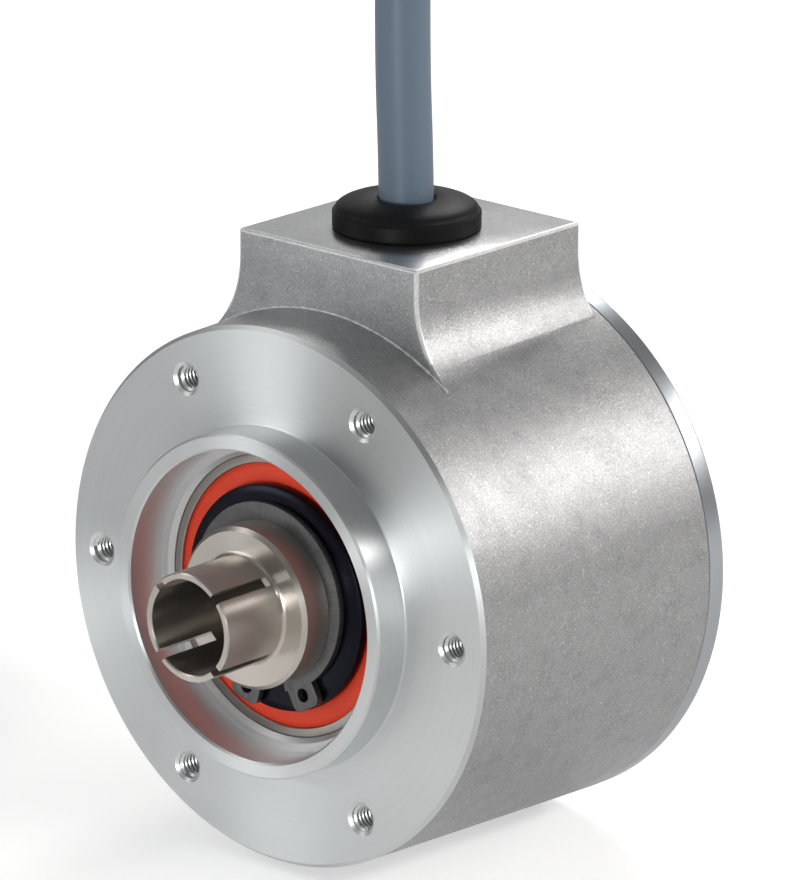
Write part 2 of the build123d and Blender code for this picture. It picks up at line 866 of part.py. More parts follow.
def make_grommet():
    neck_r = outlet_hole_r - grommet_neck_play
    bore_r = cable_r + grommet_cable_play
    outline = Polyline(
        *dome_points(),
        (bore_r, grommet_top_z - grommet_mouth_edge),
        (bore_r, grommet_bottom_z),
        (grommet_inner_flange_r, grommet_bottom_z),
        (grommet_inner_flange_r, boss_ceiling_z),
        (neck_r, boss_ceiling_z),
        (neck_r, boss_top),
        (grommet_r, boss_top),
        close=True,
    )
    standing = Rot(90, 0, 0) * make_face(outline)
    return Pos(0, outlet_y, 0) * revolve(standing, Axis.Z)


def make_crimp_sleeve():
    start = (0, outlet_y, grommet_bottom_z - crimp_length)
    outer = rod(crimp_r, crimp_length, start, (0, 0, 1))
    outer = chamfer(outer.edges().filter_by(GeomType.CIRCLE), crimp_edge)
    return outer - rod(cable_r + crimp_play, crimp_length, start, (0, 0, 1))


def loop_point(sideways, depth, z):
    """A cable point given across and along the line of sight."""
    x = sideways * aside[0] + depth * away[0]
    y = outlet_y + sideways * aside[1] + depth * away[1]
    return (x, y, z)


def cable_points():
    """The cable's route: up through the grommet, over in a loop and down to the coil."""
    return [
        (0, outlet_y, cable_bottom_z),
        (0, outlet_y, 56),
        loop_point(0.8, 0, 75),
        loop_point(0.7, 0, 105),
        loop_point(19, 0, 131),
        loop_point(49, 0, 140),
        loop_point(78, 0, 132),
        loop_point(97, 1, 106),
        loop_point(96, 1, 72),
        loop_point(92.5, 0, 41),
        loop_point(92, 0, 13),
        loop_point(103.6, 5.9, -9.6),
        loop_point(122.2, 15.3, floor_z + 19.8),
    ]


def turn_radii(points):
    radii = []
    for before, corner, after in zip(points, points[1:], points[2:]):
        first = Vector(*corner) - Vector(*before)
        second = Vector(*after) - Vector(*corner)
        half_turn = math.radians(first.get_angle(second)) / 2
        radii.append(0.45 * min(first.length, second.length) / math.tan(half_turn))
    return radii


def make_cable():
    points = cable_points()
    radii = turn_radii(points)
    path = FilletPolyline(*points, radius=radii)
    start = Plane(origin=points[0], z_dir=path % 0)
    print("cable path", round(path.length, 1), "mm")
    print("cable bend radii", [round(r, 1) for r in radii])
    return sweep(start * Circle(cable_r), path=path)


def make_cable_coil():
    """The outer form of the coiled spare length, one closed ring."""
    width = coil_strands_across * 2 * cable_r
    height = coil_strands_high * 2 * cable_r
    section = Pos(coil_outer_r - width / 2, floor_z + height / 2) * Rectangle(width, height)
    section = chamfer(section.vertices(), coil_edge)
    standing = Rot(90, 0, 0) * section
    return Pos(coil_centre[0], coil_centre[1], 0) * revolve(standing, Axis.Z)


def make_all():
    os.makedirs("parts", exist_ok=True)
    save(make_housing(), "housing")
    save(make_back_cover(), "back_cover")
    save(make_cover_seal(), "cover_seal")
    save_group(make_cover_screws(), "cover_screws")
    for name, front_y in (("front", front_bearing_y), ("rear", rear_bearing_y)):
        save(make_outer_ring(front_y), f"{name}_bearing_outer_ring")
        save(make_inner_ring(front_y), f"{name}_bearing_inner_ring")
        save_group(make_balls(front_y), f"{name}_bearing_balls")
        save(make_cage(front_y), f"{name}_bearing_cage")
    save(make_bearing_seal(front_bearing_y, 1), "front_bearing_seal")
    save(make_bearing_seal(hub_end_y, -1), "rear_bearing_seal")
    save(make_preload_spring(), "preload_spring")
    save(make_hollow_shaft(), "hollow_shaft")
    save(make_circlip(), "circlip")
    save(make_slinger(), "slinger_ring")
    save(make_spacer_sleeve(), "spacer_sleeve")
    save(make_disc_hub(), "disc_hub")
    save(make_code_disc(), "code_disc")
    save_group(make_hub_screws(), "hub_screws")
    save(make_circuit_board(), "circuit_board")
    save_group(make_standoffs(), "board_standoffs")
    save_group(make_board_screws(), "board_screws")
    save_group(make_chips(), "board_chips")
    save(make_sensor_head(), "sensor_head")
    save(make_sensor_mask(), "sensor_mask")
    save(make_lamp_bracket(), "lamp_bracket")
    save(make_lamp(), "lamp")
    save(make_wire_header(), "wire_header")
    save_group(make_wires(), "core_wires")
    save(make_grommet(), "cable_grommet")
    save(make_crimp_sleeve(), "crimp_sleeve")
    save(make_cable(), "cable")
    save(make_cable_coil(), "cable_coil")


make_all()
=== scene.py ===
import math
import bpy
import bmesh
from mathutils import Matrix, Vector


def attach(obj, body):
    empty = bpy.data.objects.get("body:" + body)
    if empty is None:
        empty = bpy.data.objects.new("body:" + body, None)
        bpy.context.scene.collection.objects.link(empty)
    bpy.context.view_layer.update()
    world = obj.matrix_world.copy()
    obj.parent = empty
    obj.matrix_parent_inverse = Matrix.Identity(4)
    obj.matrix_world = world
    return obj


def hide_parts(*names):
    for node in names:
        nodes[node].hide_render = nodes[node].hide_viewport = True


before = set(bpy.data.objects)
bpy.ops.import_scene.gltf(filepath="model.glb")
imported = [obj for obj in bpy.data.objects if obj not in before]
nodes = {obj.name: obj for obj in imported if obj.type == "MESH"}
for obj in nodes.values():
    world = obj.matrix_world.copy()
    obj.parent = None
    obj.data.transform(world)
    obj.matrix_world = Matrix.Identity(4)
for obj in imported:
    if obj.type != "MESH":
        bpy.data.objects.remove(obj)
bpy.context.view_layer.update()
mm = 0.001
fullTurn = 2 * math.pi
print("frame loaded,", len(nodes), "nodes")


def newObject(name, data):
    made = bpy.data.objects.new(name, data)
    bpy.context.scene.collection.objects.link(made)
    return made


# camera, fitted to the photograph's outlines
cameraSettings = {
    "azimuth": 41.566, "elevation": 17.068, "roll": 0.290, "distance": 1114.26,
    "focalPixels": 7693.15, "pictureHeight": 880, "sensor": 36.0, "farEnd": 10.0,
    "target": (1.923, 25.0, 18.516),
}


def buildCamera(s):
    azimuth, elevation, roll = (math.radians(s[k]) for k in ("azimuth", "elevation", "roll"))
    back = Vector((
        math.sin(azimuth) * math.cos(elevation),
        -math.cos(azimuth) * math.cos(elevation),
        math.sin(elevation),
    ))
    side = Vector((0, 0, 1)).cross(back).normalized()
    up = back.cross(side)
    right = math.cos(roll) * side + math.sin(roll) * up
    top = math.cos(roll) * up - math.sin(roll) * side
    data = bpy.data.cameras.new("photoCamera")
    data.sensor_width = s["sensor"]
    data.lens = s["focalPixels"] * s["sensor"] / s["pictureHeight"]
    data.clip_end = s["farEnd"]
    camera = newObject("photoCamera", data)
    place = Vector(s["target"]) * mm + back * s["distance"] * mm
    turn = Matrix((right, top, back)).transposed().to_4x4()
    camera.matrix_world = Matrix.Translation(place) @ turn
    bpy.context.scene.camera = camera


buildCamera(cameraSettings)
print("camera placed")


# node helpers
def addNode(tree, kind, **values):
    node = tree.nodes.new(kind)
    for name, value in values.items():
        if hasattr(node, name):
            setattr(node, name, value)
        else:
            node.inputs[name.replace("_", " ")].default_value = value
    return node


def feed(tree, socket, value):
    # a number or a colour is set, an output is linked
    if isinstance(value, (int, float)):
        socket.default_value = value
    elif isinstance(value, tuple):
        socket.default_value = (*value[:3], 1)
    else:
        tree.links.new(value, socket)


def mathNode(tree, operation, first, second=None):
    node = tree.nodes.new("ShaderNodeMath")
    node.operation = operation
    feed(tree, node.inputs[0], first)
    if second is not None:
        feed(tree, node.inputs[1], second)
    return node.outputs[0]


def rangeNode(tree, value, low, high, newLow, newHigh):
    node = tree.nodes.new("ShaderNodeMapRange")
    tree.links.new(value, node.inputs["Value"])
    for name, number in (("From Min", low), ("From Max", high), ("To Min", newLow), ("To Max", newHigh)):
        feed(tree, node.inputs[name], number)
    return node.outputs[0]


def mixColour(tree, factor, first, second):
    # the mix node's colour sockets come after those for numbers and vectors
    node = tree.nodes.new("ShaderNodeMix")
    node.data_type = "RGBA"
    feed(tree, node.inputs[0], factor)
    feed(tree, node.inputs[6], first)
    feed(tree, node.inputs[7], second)
    return node.outputs[2]


def noiseNode(tree, vector, scale, detail, roughness):
    node = addNode(tree, "ShaderNodeTexNoise", Detail=detail, Roughness=roughness)
    tree.links.new(vector, node.inputs["Vector"])
    feed(tree, node.inputs["Scale"], scale)
    return node.outputs["Fac"]


def bumpNormal(tree, height, depth):
    # depth in millimetres
    bump = addNode(tree, "ShaderNodeBump", Strength=1.0)
    tree.links.new(mathNode(tree, "MULTIPLY", depth, mm), bump.inputs["Distance"])
    tree.links.new(height, bump.inputs["Height"])
    return bump.outputs[0]


def objectMillimetres(tree):
    coords = addNode(tree, "ShaderNodeTexCoord")
    scaled = addNode(tree, "ShaderNodeVectorMath", operation="SCALE")
    tree.links.new(coords.outputs["Object"], scaled.inputs[0])
    scaled.inputs["Scale"].default_value = 1 / mm
    return scaled.outputs[0]


def newGroup(name, inputs, outputs):
    group = bpy.data.node_groups.new(name, "ShaderNodeTree")
    for socketName, value in inputs.items():
        socket = group.interface.new_socket(socketName, in_out="INPUT", socket_type="NodeSocketFloat")
        socket.default_value = value
    for socketName in outputs:
        kind = "NodeSocketVector" if socketName == "Normal" else "NodeSocketFloat"
        group.interface.new_socket(socketName, in_out="OUTPUT", socket_type=kind)
    start = group.nodes.new("NodeGroupInput")
    end = group.nodes.new("NodeGroupOutput")
    return group, start, end


def closeGroup(group, end, **results):
    for name, output in results.items():
        group.links.new(output, end.inputs[name])
    return group


def placeGroup(tree, group, **values):
    node = tree.nodes.new("ShaderNodeGroup")
    node.node_tree = group
    for name, value in values.items():
        node.inputs[name].default_value = value
    return node


# turned surfaces: fine rings round the shaft axis
def buildTurnedRings():
    inputs = {"Pitch": 0.25, "Depth": 0.02, "Streak": 0.5}
    group, start, end = newGroup("turnedRings", inputs, ("Mask", "Normal"))
    coords = addNode(group, "ShaderNodeTexCoord")
    parts = addNode(group, "ShaderNodeSeparateXYZ")
    group.links.new(coords.outputs["Object"], parts.inputs[0])
    x, y, z = parts.outputs
    flat = mathNode(group, "ADD", mathNode(group, "POWER", x, 2.0), mathNode(group, "POWER", z, 2.0))
    travel = mathNode(group, "ADD", mathNode(group, "SQRT", flat), y)
    steps = mathNode(group, "DIVIDE", mathNode(group, "MULTIPLY", travel, 1 / mm), start.outputs["Pitch"])
    around = mathNode(group, "ARCTAN2", z, x)
    place = addNode(group, "ShaderNodeCombineXYZ")
    group.links.new(steps, place.inputs[0])
    for index, operation in ((1, "SINE"), (2, "COSINE")):
        wave = mathNode(group, operation, around)
        group.links.new(mathNode(group, "MULTIPLY", wave, start.outputs["Streak"]), place.inputs[index])
    mask = noiseNode(group, place.outputs[0], 1.0, 4.0, 0.65)
    return closeGroup(group, end, Mask=mask, Normal=bumpNormal(group, mask, start.outputs["Depth"]))


# cast skin: sandy grain with mottled patches, painted glints as bright specks, and short dark cracks
skinSettings = {
    "fineShare": 0.72, "patchShare": 0.28, "pitShare": 0.6, "pitScale": 0.45,
    "chosenPits": (0.72, 0.78), "glintReach": (0.05, 0.30),
    "crackTurn": (0.5, 0.9, 0.35), "crackStretch": (0.35, 1.5, 0.9), "crackScale": 0.4,
    "crackWidth": (0.004, 0.016), "crackPatches": (0.50, 0.58),
}


def buildCastSkin(s):
    inputs = {"Grain": 0.35, "Depth": 0.05, "Patch": 4.0}
    group, start, end = newGroup("castSkin", inputs, ("Mottle", "Speck", "Fleck", "Normal"))
    place = objectMillimetres(group)
    fineScale = mathNode(group, "DIVIDE", 1.0, start.outputs["Grain"])
    fine = noiseNode(group, place, fineScale, 5.0, 0.7)
    patch = noiseNode(group, place, mathNode(group, "DIVIDE", 1.0, start.outputs["Patch"]), 6.0, 0.6)
    patchPart = mathNode(group, "MULTIPLY", patch, s["patchShare"])
    mottle = mathNode(group, "ADD", patchPart, mathNode(group, "MULTIPLY", fine, s["fineShare"]))
    pits = addNode(group, "ShaderNodeTexVoronoi", Randomness=1.0)
    group.links.new(place, pits.inputs["Vector"])
    group.links.new(mathNode(group, "MULTIPLY", fineScale, s["pitScale"]), pits.inputs["Scale"])
    cell = addNode(group, "ShaderNodeSeparateColor")
    group.links.new(pits.outputs["Color"], cell.inputs[0])
    chosen = rangeNode(group, cell.outputs[0], *s["chosenPits"], 0.0, 1.0)
    dots = rangeNode(group, pits.outputs["Distance"], *s["glintReach"], 1.0, 0.0)
    # the cracks are thin contour lines of a stretched noise, kept only in some patches
    stretch = addNode(group, "ShaderNodeMapping")
    stretch.inputs["Rotation"].default_value = s["crackTurn"]
    stretch.inputs["Scale"].default_value = s["crackStretch"]
    group.links.new(place, stretch.inputs["Vector"])
    crackScale = mathNode(group, "MULTIPLY", fineScale, s["crackScale"])
    worn = noiseNode(group, stretch.outputs[0], crackScale, 4.0, 0.75)
    offset = mathNode(group, "ABSOLUTE", mathNode(group, "SUBTRACT", worn, 0.5))
    line = rangeNode(group, offset, *s["crackWidth"], 1.0, 0.0)
    kept = rangeNode(group, patch, *s["crackPatches"], 0.0, 1.0)
    pitDepth = mathNode(group, "MULTIPLY", pits.outputs["Distance"], s["pitShare"])
    height = mathNode(group, "ADD", fine, pitDepth)
    glint = mathNode(group, "MULTIPLY", chosen, dots)
    fleck = mathNode(group, "MULTIPLY", line, kept)
    normal = bumpNormal(group, height, start.outputs["Depth"])
    return closeGroup(group, end, Mottle=mottle, Speck=glint, Fleck=fleck, Normal=normal)


# handling marks: slow changes of gloss over a surface
def buildHandMarks():
    group, start, end = newGroup("handMarks", {"Size": 8.0, "Low": 0.25, "High": 0.4}, ("Roughness",))
    scale = mathNode(group, "DIVIDE", 1.0, start.outputs["Size"])
    noise = noiseNode(group, objectMillimetres(group), scale, 5.0, 0.6)
    level = rangeNode(group, noise, 0.3, 0.7, start.outputs["Low"], start.outputs["High"])
    return closeGroup(group, end, Roughness=level)


turnedRings = buildTurnedRings()
castSkin = buildCastSkin(skinSettings)
handMarks = buildHandMarks()
print("shader groups built")


def newMaterial(name, **values):
    material = bpy.data.materials.new(name)
    material.use_nodes = True
    shader = material.node_tree.nodes["Principled BSDF"]
    for socket, value in values.items():
        feed(material.node_tree, shader.inputs[socket.replace("_", " ")], value)
    return material, material.node_tree, shader


def dress(tree, shader, colour, normal, marksSize, rough):
    # colour and normal with handling marks in the roughness
    marks = placeGroup(tree, handMarks, Size=marksSize, Low=rough[0], High=rough[1])
    tree.links.new(colour, shader.inputs["Base Color"])
    tree.links.new(marks.outputs["Roughness"], shader.inputs["Roughness"])
    tree.links.new(normal, shader.inputs["Normal"])


turnedFinish = {
    "machinedFace": {
        "colour": (0.73, 0.75, 0.755), "pitch": 0.35, "depth": 0.005, "rough": (0.37, 0.41), "aniso": 0.88,
    },
    "turnedRim": {
        "colour": (0.50, 0.53, 0.56), "pitch": 0.3, "depth": 0.003, "rough": (0.31, 0.37), "aniso": 0.4,
    },
    "boreWall": {
        "colour": (0.68, 0.68, 0.685), "pitch": 0.3, "depth": 0.010, "rough": (0.30, 0.36), "aniso": 0.3,
        "metal": 0.65,
    },
    "stainless": {
        "colour": (0.60, 0.56, 0.515), "pitch": 0.6, "depth": 0.003, "rough": (0.27, 0.30), "aniso": 0.75,
    },
    "groundSteel": {
        "colour": (0.44, 0.41, 0.385), "pitch": 0.2, "depth": 0.004, "rough": (0.27, 0.36), "aniso": 0.4,
    },
    "turnedBrass": {
        "colour": (0.78, 0.60, 0.30), "pitch": 0.25, "depth": 0.006, "rough": (0.25, 0.38), "aniso": 0.3,
    },
    "platedSteel": {
        "colour": (0.62, 0.63, 0.65), "pitch": 0.2, "depth": 0.004, "rough": (0.22, 0.32), "aniso": 0.2,
    },
}


def buildTurned(name, s):
    material, tree, shader = newMaterial(
        name, Metallic=s.get("metal", 1.0), Anisotropic=s["aniso"], Anisotropic_Rotation=0.25,
    )
    rings = placeGroup(tree, turnedRings, Pitch=s["pitch"], Depth=s["depth"], Streak=0.6)
    darker = tuple(0.90 * c for c in s["colour"])
    colour = mixColour(tree, rings.outputs["Mask"], darker, s["colour"])
    dress(tree, shader, colour, rings.outputs["Normal"], 14.0, s["rough"])
    tangent = addNode(tree, "ShaderNodeTangent", direction_type="RADIAL", axis="Y")
    tree.links.new(tangent.outputs[0], shader.inputs["Tangent"])
    return material


castFinish = {
    "castAluminium": {
        "dark": (0.328, 0.333, 0.340), "light": (0.556, 0.558, 0.563), "grain": 0.25, "depth": 0.032,
        "rough": (0.38, 0.48), "patch": 2.8, "sparkle": 0.7, "fleck": 0.6,
    },
    # edges: partly rubbed metal, partly a painted highlight, much paler than the cast skin
    "wornEdgeAndHighlight": {
        "dark": (0.66, 0.66, 0.67), "light": (0.86, 0.86, 0.86), "grain": 0.3, "depth": 0.02,
        "rough": (0.45, 0.55), "patch": 1.0, "sparkle": 0.2, "fleck": 0.4,
    },
    "milledTop": {
        "dark": (0.50, 0.505, 0.515), "light": (0.60, 0.605, 0.61), "grain": 0.6, "depth": 0.005,
        "rough": (0.22, 0.28), "patch": 4.0, "sparkle": 0.05, "fleck": 0.15,
    },
}


def buildCast(name, s):
    material, tree, shader = newMaterial(name, Metallic=1.0)
    skin = placeGroup(tree, castSkin, Grain=s["grain"], Depth=s["depth"], Patch=s["patch"])
    spread = rangeNode(tree, skin.outputs["Mottle"], 0.39, 0.61, 0.0, 1.0)
    colour = mixColour(tree, spread, s["dark"], s["light"])
    dull = tuple(0.55 * c for c in s["dark"])
    glintColour = (0.9, 0.89, 0.87)
    colour = mixColour(tree, mathNode(tree, "MULTIPLY", skin.outputs["Fleck"], s["fleck"]), colour, dull)
    # painted glints: bright specks mixed into the base colour, standing in for sparkle
    colour = mixColour(tree, mathNode(tree, "MULTIPLY", skin.outputs["Speck"], s["sparkle"]), colour, glintColour)
    dress(tree, shader, colour, skin.outputs["Normal"], 6.0, s["rough"])
    return material


softFinish = {
    "blackRubber": {
        "dark": (0.004, 0.004, 0.005), "light": (0.010, 0.010, 0.011), "grain": 0.5, "depth": 0.02,
        "rough": (0.40, 0.50), "gloss": 0.14,
    },
    "orangeSeal": {
        "dark": (0.8, 0.05, 0.016), "light": (0.9, 0.064, 0.022), "grain": 0.8, "depth": 0.006,
        "rough": (0.48, 0.58),
    },
    "cableSheath": {
        "dark": (0.112, 0.157, 0.212), "light": (0.130, 0.178, 0.235), "grain": 1.2, "depth": 0.012,
        "rough": (0.40, 0.50),
    },
    "cagePlastic": {
        "dark": (0.62, 0.55, 0.40), "light": (0.72, 0.66, 0.50), "grain": 0.8, "depth": 0.01,
        "rough": (0.45, 0.55),
    },
    "boardGreen": {
        "dark": (0.012, 0.10, 0.045), "light": (0.02, 0.14, 0.06), "grain": 1.0, "depth": 0.01,
        "rough": (0.25, 0.35),
    },
    "chipBlack": {
        "dark": (0.012, 0.012, 0.013), "light": (0.022, 0.022, 0.024), "grain": 0.3, "depth": 0.01,
        "rough": (0.5, 0.6),
    },
    "headerWhite": {
        "dark": (0.66, 0.63, 0.55), "light": (0.74, 0.71, 0.64), "grain": 0.6, "depth": 0.01,
        "rough": (0.45, 0.55),
    },
    "coreSheath": {
        "dark": (0.35, 0.04, 0.03), "light": (0.45, 0.06, 0.04), "grain": 0.6, "depth": 0.005,
        "rough": (0.35, 0.45),
    },
    "lampResin": {
        "dark": (0.72, 0.66, 0.60), "light": (0.82, 0.77, 0.72), "grain": 0.8, "depth": 0.004,
        "rough": (0.08, 0.14),
    },
}


def buildSoft(name, s):
    material, tree, shader = newMaterial(name, Specular_IOR_Level=s.get("gloss", 0.5))
    skin = placeGroup(tree, castSkin, Grain=s["grain"], Depth=s["depth"], Patch=5.0)
    colour = mixColour(tree, skin.outputs["Mottle"], s["dark"], s["light"])
    dress(tree, shader, colour, skin.outputs["Normal"], 5.0, s["rough"])
    return material


darkFinish = {
    "springSteel": {
        "dark": (0.115, 0.115, 0.118), "light": (0.16, 0.16, 0.162), "streak": 60.0, "rough": (0.38, 0.48),
    },
    "blackSteel": {
        "dark": (0.007, 0.007, 0.012), "light": (0.012, 0.012, 0.020), "streak": 1.0, "rough": (0.20, 0.28),
    },
}


def buildDark(name, s):
    material, tree, shader = newMaterial(name, Metallic=0.9, Anisotropic=0.3)
    rings = placeGroup(tree, turnedRings, Pitch=6.0, Depth=0.01, Streak=s["streak"])
    spread = rangeNode(tree, rings.outputs["Mask"], 0.35, 0.65, 0.0, 1.0)
    colour = mixColour(tree, spread, s["dark"], s["light"])
    dress(tree, shader, colour, rings.outputs["Normal"], 4.0, s["rough"])
    return material


glassFinish = {"tint": (0.80, 0.86, 0.86), "ior": 1.5, "rough": (0.02, 0.08)}


def buildDiscGlass(s):
    material, tree, shader = newMaterial(
        "discGlass", Base_Color=s["tint"], IOR=s["ior"], Transmission_Weight=0.9,
    )
    marks = placeGroup(tree, handMarks, Size=10.0, Low=s["rough"][0], High=s["rough"][1])
    tree.links.new(marks.outputs["Roughness"], shader.inputs["Roughness"])
    return material


materials = {"discGlass": buildDiscGlass(glassFinish)}
for build, table in (
    (buildTurned, turnedFinish), (buildCast, castFinish), (buildSoft, softFinish), (buildDark, darkFinish),
):
    for name, values in table.items():
        materials[name] = build(name, values)
print("materials built:", len(materials))


# mesh helpers
def profileSpin(points, segments):
    # a profile that starts on the axis ends there too, any other is a closed loop
    bm = bmesh.new()
    verts = [bm.verts.new((r * mm, y * mm, 0)) for r, y in points]
    chain = verts + verts[:1] if points[0][0] > 0 else verts
    edges = [bm.edges.new((a, b)) for a, b in zip(chain, chain[1:])]
    bmesh.ops.spin(
        bm, geom=verts + edges, axis=(0, 1, 0), cent=(0, 0, 0), dvec=(0, 0, 0),
        angle=fullTurn, steps=segments, use_merge=True, use_duplicate=False,
    )
    bmesh.ops.remove_doubles(bm, verts=bm.verts, dist=1e-7)
    bmesh.ops.recalc_face_normals(bm, faces=bm.faces)
    return bm


def quarterTurn(bm):
    # swaps the Y and Z axes by a quarter of a turn about X
    bmesh.ops.rotate(bm, verts=bm.verts, cent=(0, 0, 0), matrix=Matrix.Rotation(math.radians(90), 3, "X"))


def arcPoints(centre, radius, startDegrees, endDegrees, steps):
    points = []
    for index in range(steps + 1):
        angle = math.radians(startDegrees + (endDegrees - startDegrees) * index / steps)
        points.append((centre[0] + radius * math.cos(angle), centre[1] + radius * math.sin(angle)))
    return points


def finishShading(piece, sharpDegrees=35):
    piece.data.shade_smooth()
    piece.data.set_sharp_from_angle(angle=math.radians(sharpDegrees))


def meshPiece(name, bm, finish, sharpDegrees=35):
    mesh = bpy.data.meshes.new(name)
    bm.to_mesh(mesh)
    bm.free()
    mesh.materials.append(materials[finish])
    piece = newObject(name, mesh)
    finishShading(piece, sharpDegrees)
    return piece


def boxForm(size, middle):
    bm = bmesh.new()
    bmesh.ops.create_cube(bm, size=1.0)
    bmesh.ops.scale(bm, verts=bm.verts, vec=Vector(size) * mm)
    bmesh.ops.translate(bm, verts=bm.verts, vec=Vector(middle) * mm)
    return bm


def cylinderForm(radius, length, middle, axis="Y", segments=64):
    bm = bmesh.new()
    bmesh.ops.create_cone(
        bm, cap_ends=True, segments=segments, radius1=radius * mm, radius2=radius * mm, depth=length * mm,
    )
    if axis == "Y":
        quarterTurn(bm)
    bmesh.ops.translate(bm, verts=bm.verts, vec=Vector(middle) * mm)
    return bm


def cutWith(piece, cutter, operation="DIFFERENCE"):
    modifier = piece.modifiers.new("cut", "BOOLEAN")
    modifier.operation = operation
    modifier.solver = "EXACT"
    modifier.object = cutter
    depsgraph = bpy.context.evaluated_depsgraph_get()
    mesh = bpy.data.meshes.new_from_object(piece.evaluated_get(depsgraph))
    piece.modifiers.clear()
    used = (piece.data, cutter.data)
    piece.data = mesh
    bpy.data.objects.remove(cutter)
    for old in used:
        bpy.data.meshes.remove(old)
    mesh.name = piece.name


def spreadCopies(bm, count, startDegrees=0.0):
    # turns what the bmesh holds into evenly spaced copies about the shaft axis
    first = list(bm.verts) + list(bm.edges) + list(bm.faces)
    start = Matrix.Rotation(-math.radians(startDegrees), 3, "Y")
    bmesh.ops.rotate(bm, verts=bm.verts, cent=(0, 0, 0), matrix=start)
    for index in range(1, count):
        made = bmesh.ops.duplicate(bm, geom=first)["geom"]
        copied = [g for g in made if isinstance(g, bmesh.types.BMVert)]
        turn = Matrix.Rotation(-fullTurn * index / count, 3, "Y")
        bmesh.ops.rotate(bm, verts=copied, cent=(0, 0, 0), matrix=turn)


def curvePiece(name, kind, places, radius, roundness, finish, alongSteps=1):
    # a round wire along its places
    curve = bpy.data.curves.new(name, "CURVE")
    curve.dimensions = "3D"
    spline = curve.splines.new(kind)
    spline.points.add(len(places) - 1)
    for point, place in zip(spline.points, places):
        point.co = (*place, 1)
    if kind == "NURBS":
        spline.order_u = 3
        spline.use_endpoint_u = True
        spline.resolution_u = alongSteps
    curve.bevel_depth = radius * mm
    curve.bevel_resolution = roundness
    curve.use_fill_caps = True
    curve.materials.append(materials[finish])
    return newObject(name, curve)


# cable: one smooth cord from the boss to its coil
cableSettings = {
    "radius": 4.0, "exit": (0.0, 28.4, 54.1), "outletY": 28.4, "inside": (38, 56),
    "aside": (-0.747, -0.665), "away": (-0.665, 0.747),
    # distance aside, distance away, height
    "loop": [
        (0.8, 0, 75), (0.7, 0, 105), (19, 0, 131), (49, 0, 140), (78, 0, 132), (97, 1, 106), (96, 1, 72),
        (92.5, 0, 41), (92, 0, 13), (103.6, 5.9, -9.6),
    ],
    "floor": -41.4, "coilAside": 110.0, "coilAway": 54.0, "pointsPerTurn": 15,
    # angle round the coil, radius, height of the cable's middle above the floor
    "coilStages": [
        (-63.0, 40.0, 19.0), (-20.0, 38.0, 13.2), (60.0, 36.2, 12.2), (262.0, 36.0, 12.0),
        (290.0, 36.0, 10.9), (316.0, 39.2, 8.3), (342.0, 40.0, 4.1), (590.0, 40.0, 4.1),
        (618.0, 36.0, 4.1), (645.0, 32.0, 4.1), (925.0, 31.8, 4.1), (965.0, 28.6, 4.1),
    ],
}


def cablePoint(s, sideways, depth, z):
    x = sideways * s["aside"][0] + depth * s["away"][0]
    y = s["outletY"] + sideways * s["aside"][1] + depth * s["away"][1]
    return Vector((x, y, z)) * mm


def cableRoute(s):
    points = [cablePoint(s, 0, 0, height) for height in s["inside"]]
    points += [cablePoint(s, *place) for place in s["loop"]]
    stages = s["coilStages"]
    step = 360.0 / s["pointsPerTurn"]
    stretch = 1 / math.cos(math.radians(step / 2))  # the spline runs inside its control points
    angle = stages[0][0]
    while angle <= stages[-1][0]:
        for (a0, r0, z0), (a1, r1, z1) in zip(stages, stages[1:]):
            if a0 <= angle <= a1:
                share = (angle - a0) / (a1 - a0)
                radius = (r0 + (r1 - r0) * share) * stretch
                height = z0 + (z1 - z0) * share
        turn = math.radians(angle)
        sideways = s["coilAside"] + radius * math.cos(turn)
        depth = s["coilAway"] + radius * math.sin(turn)
        points.append(cablePoint(s, sideways, depth, s["floor"] + height))
        angle += step
    return points


endSettings = {
    "coreR": 0.62, "ferruleR": 0.75, "ferruleLength": 6.0, "ferruleBack": 1.0, "ferruleMiddle": 3.0,
    "ring": 1.5, "spread": 1.5, "lean": 1.2, "bend": 26.0,
    # distances past the cut sheath at which a core starts, leaves the ring, sinks, lies down and ends
    "hidden": -2.0, "straight": 3.0, "sinks": 8.0, "lies": 13.0, "tip": 17.0,
    "halfDrop": -1.5, "drop": -3.2, "fanShare": 0.85,
    "finishes": ("coreSheath", "headerWhite", "chipBlack", "boardGreen", "orangeSeal", "cableSheath"),
}


def buildWire(name, places, radius, finish):
    wire = curvePiece(name, "NURBS", places, radius, 3, finish, 6)
    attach(wire, "housing")
    return wire


def buildCableEnd(s, route, coilMiddle):
    # stripped cores with ferrules just past the cut sheath, bent in with the coil
    upward = Vector((0, 0, 1))
    ahead = (route[-1] - route[-2]).normalized()
    aside = ahead.cross(upward).normalized()
    if aside.dot(coilMiddle - route[-1]) < 0:
        aside = -aside
    count = len(s["finishes"])
    pieces = []
    for index, finish in enumerate(s["finishes"]):
        turn = fullTurn * index / count
        fan = (index - (count - 1) / 2) * s["spread"] + s["lean"]
        across = s["ring"] * math.cos(turn)
        above = s["ring"] * math.sin(turn)

        def place(forward, sideways, height):
            inward = sideways + forward ** 2 / s["bend"]
            return route[-1] + (ahead * forward + aside * inward + upward * height) * mm

        bent = place(s["lies"], s["fanShare"] * fan, s["drop"])
        tip = place(s["tip"], fan, s["drop"])
        places = [
            place(s["hidden"], across, above), place(s["straight"], across, above),
            place(s["sinks"], 0.5 * (across + fan), s["halfDrop"]), bent, tip,
        ]
        core = buildWire("core%d" % (index + 1), places, s["coreR"], finish)
        way = (tip - bent).normalized() * mm
        ends = [tip + way * reach for reach in (-s["ferruleBack"], s["ferruleMiddle"], s["ferruleLength"])]
        ferrule = buildWire("ferrule%d" % (index + 1), ends, s["ferruleR"], "platedSteel")
        pieces += [core, ferrule]
    return pieces


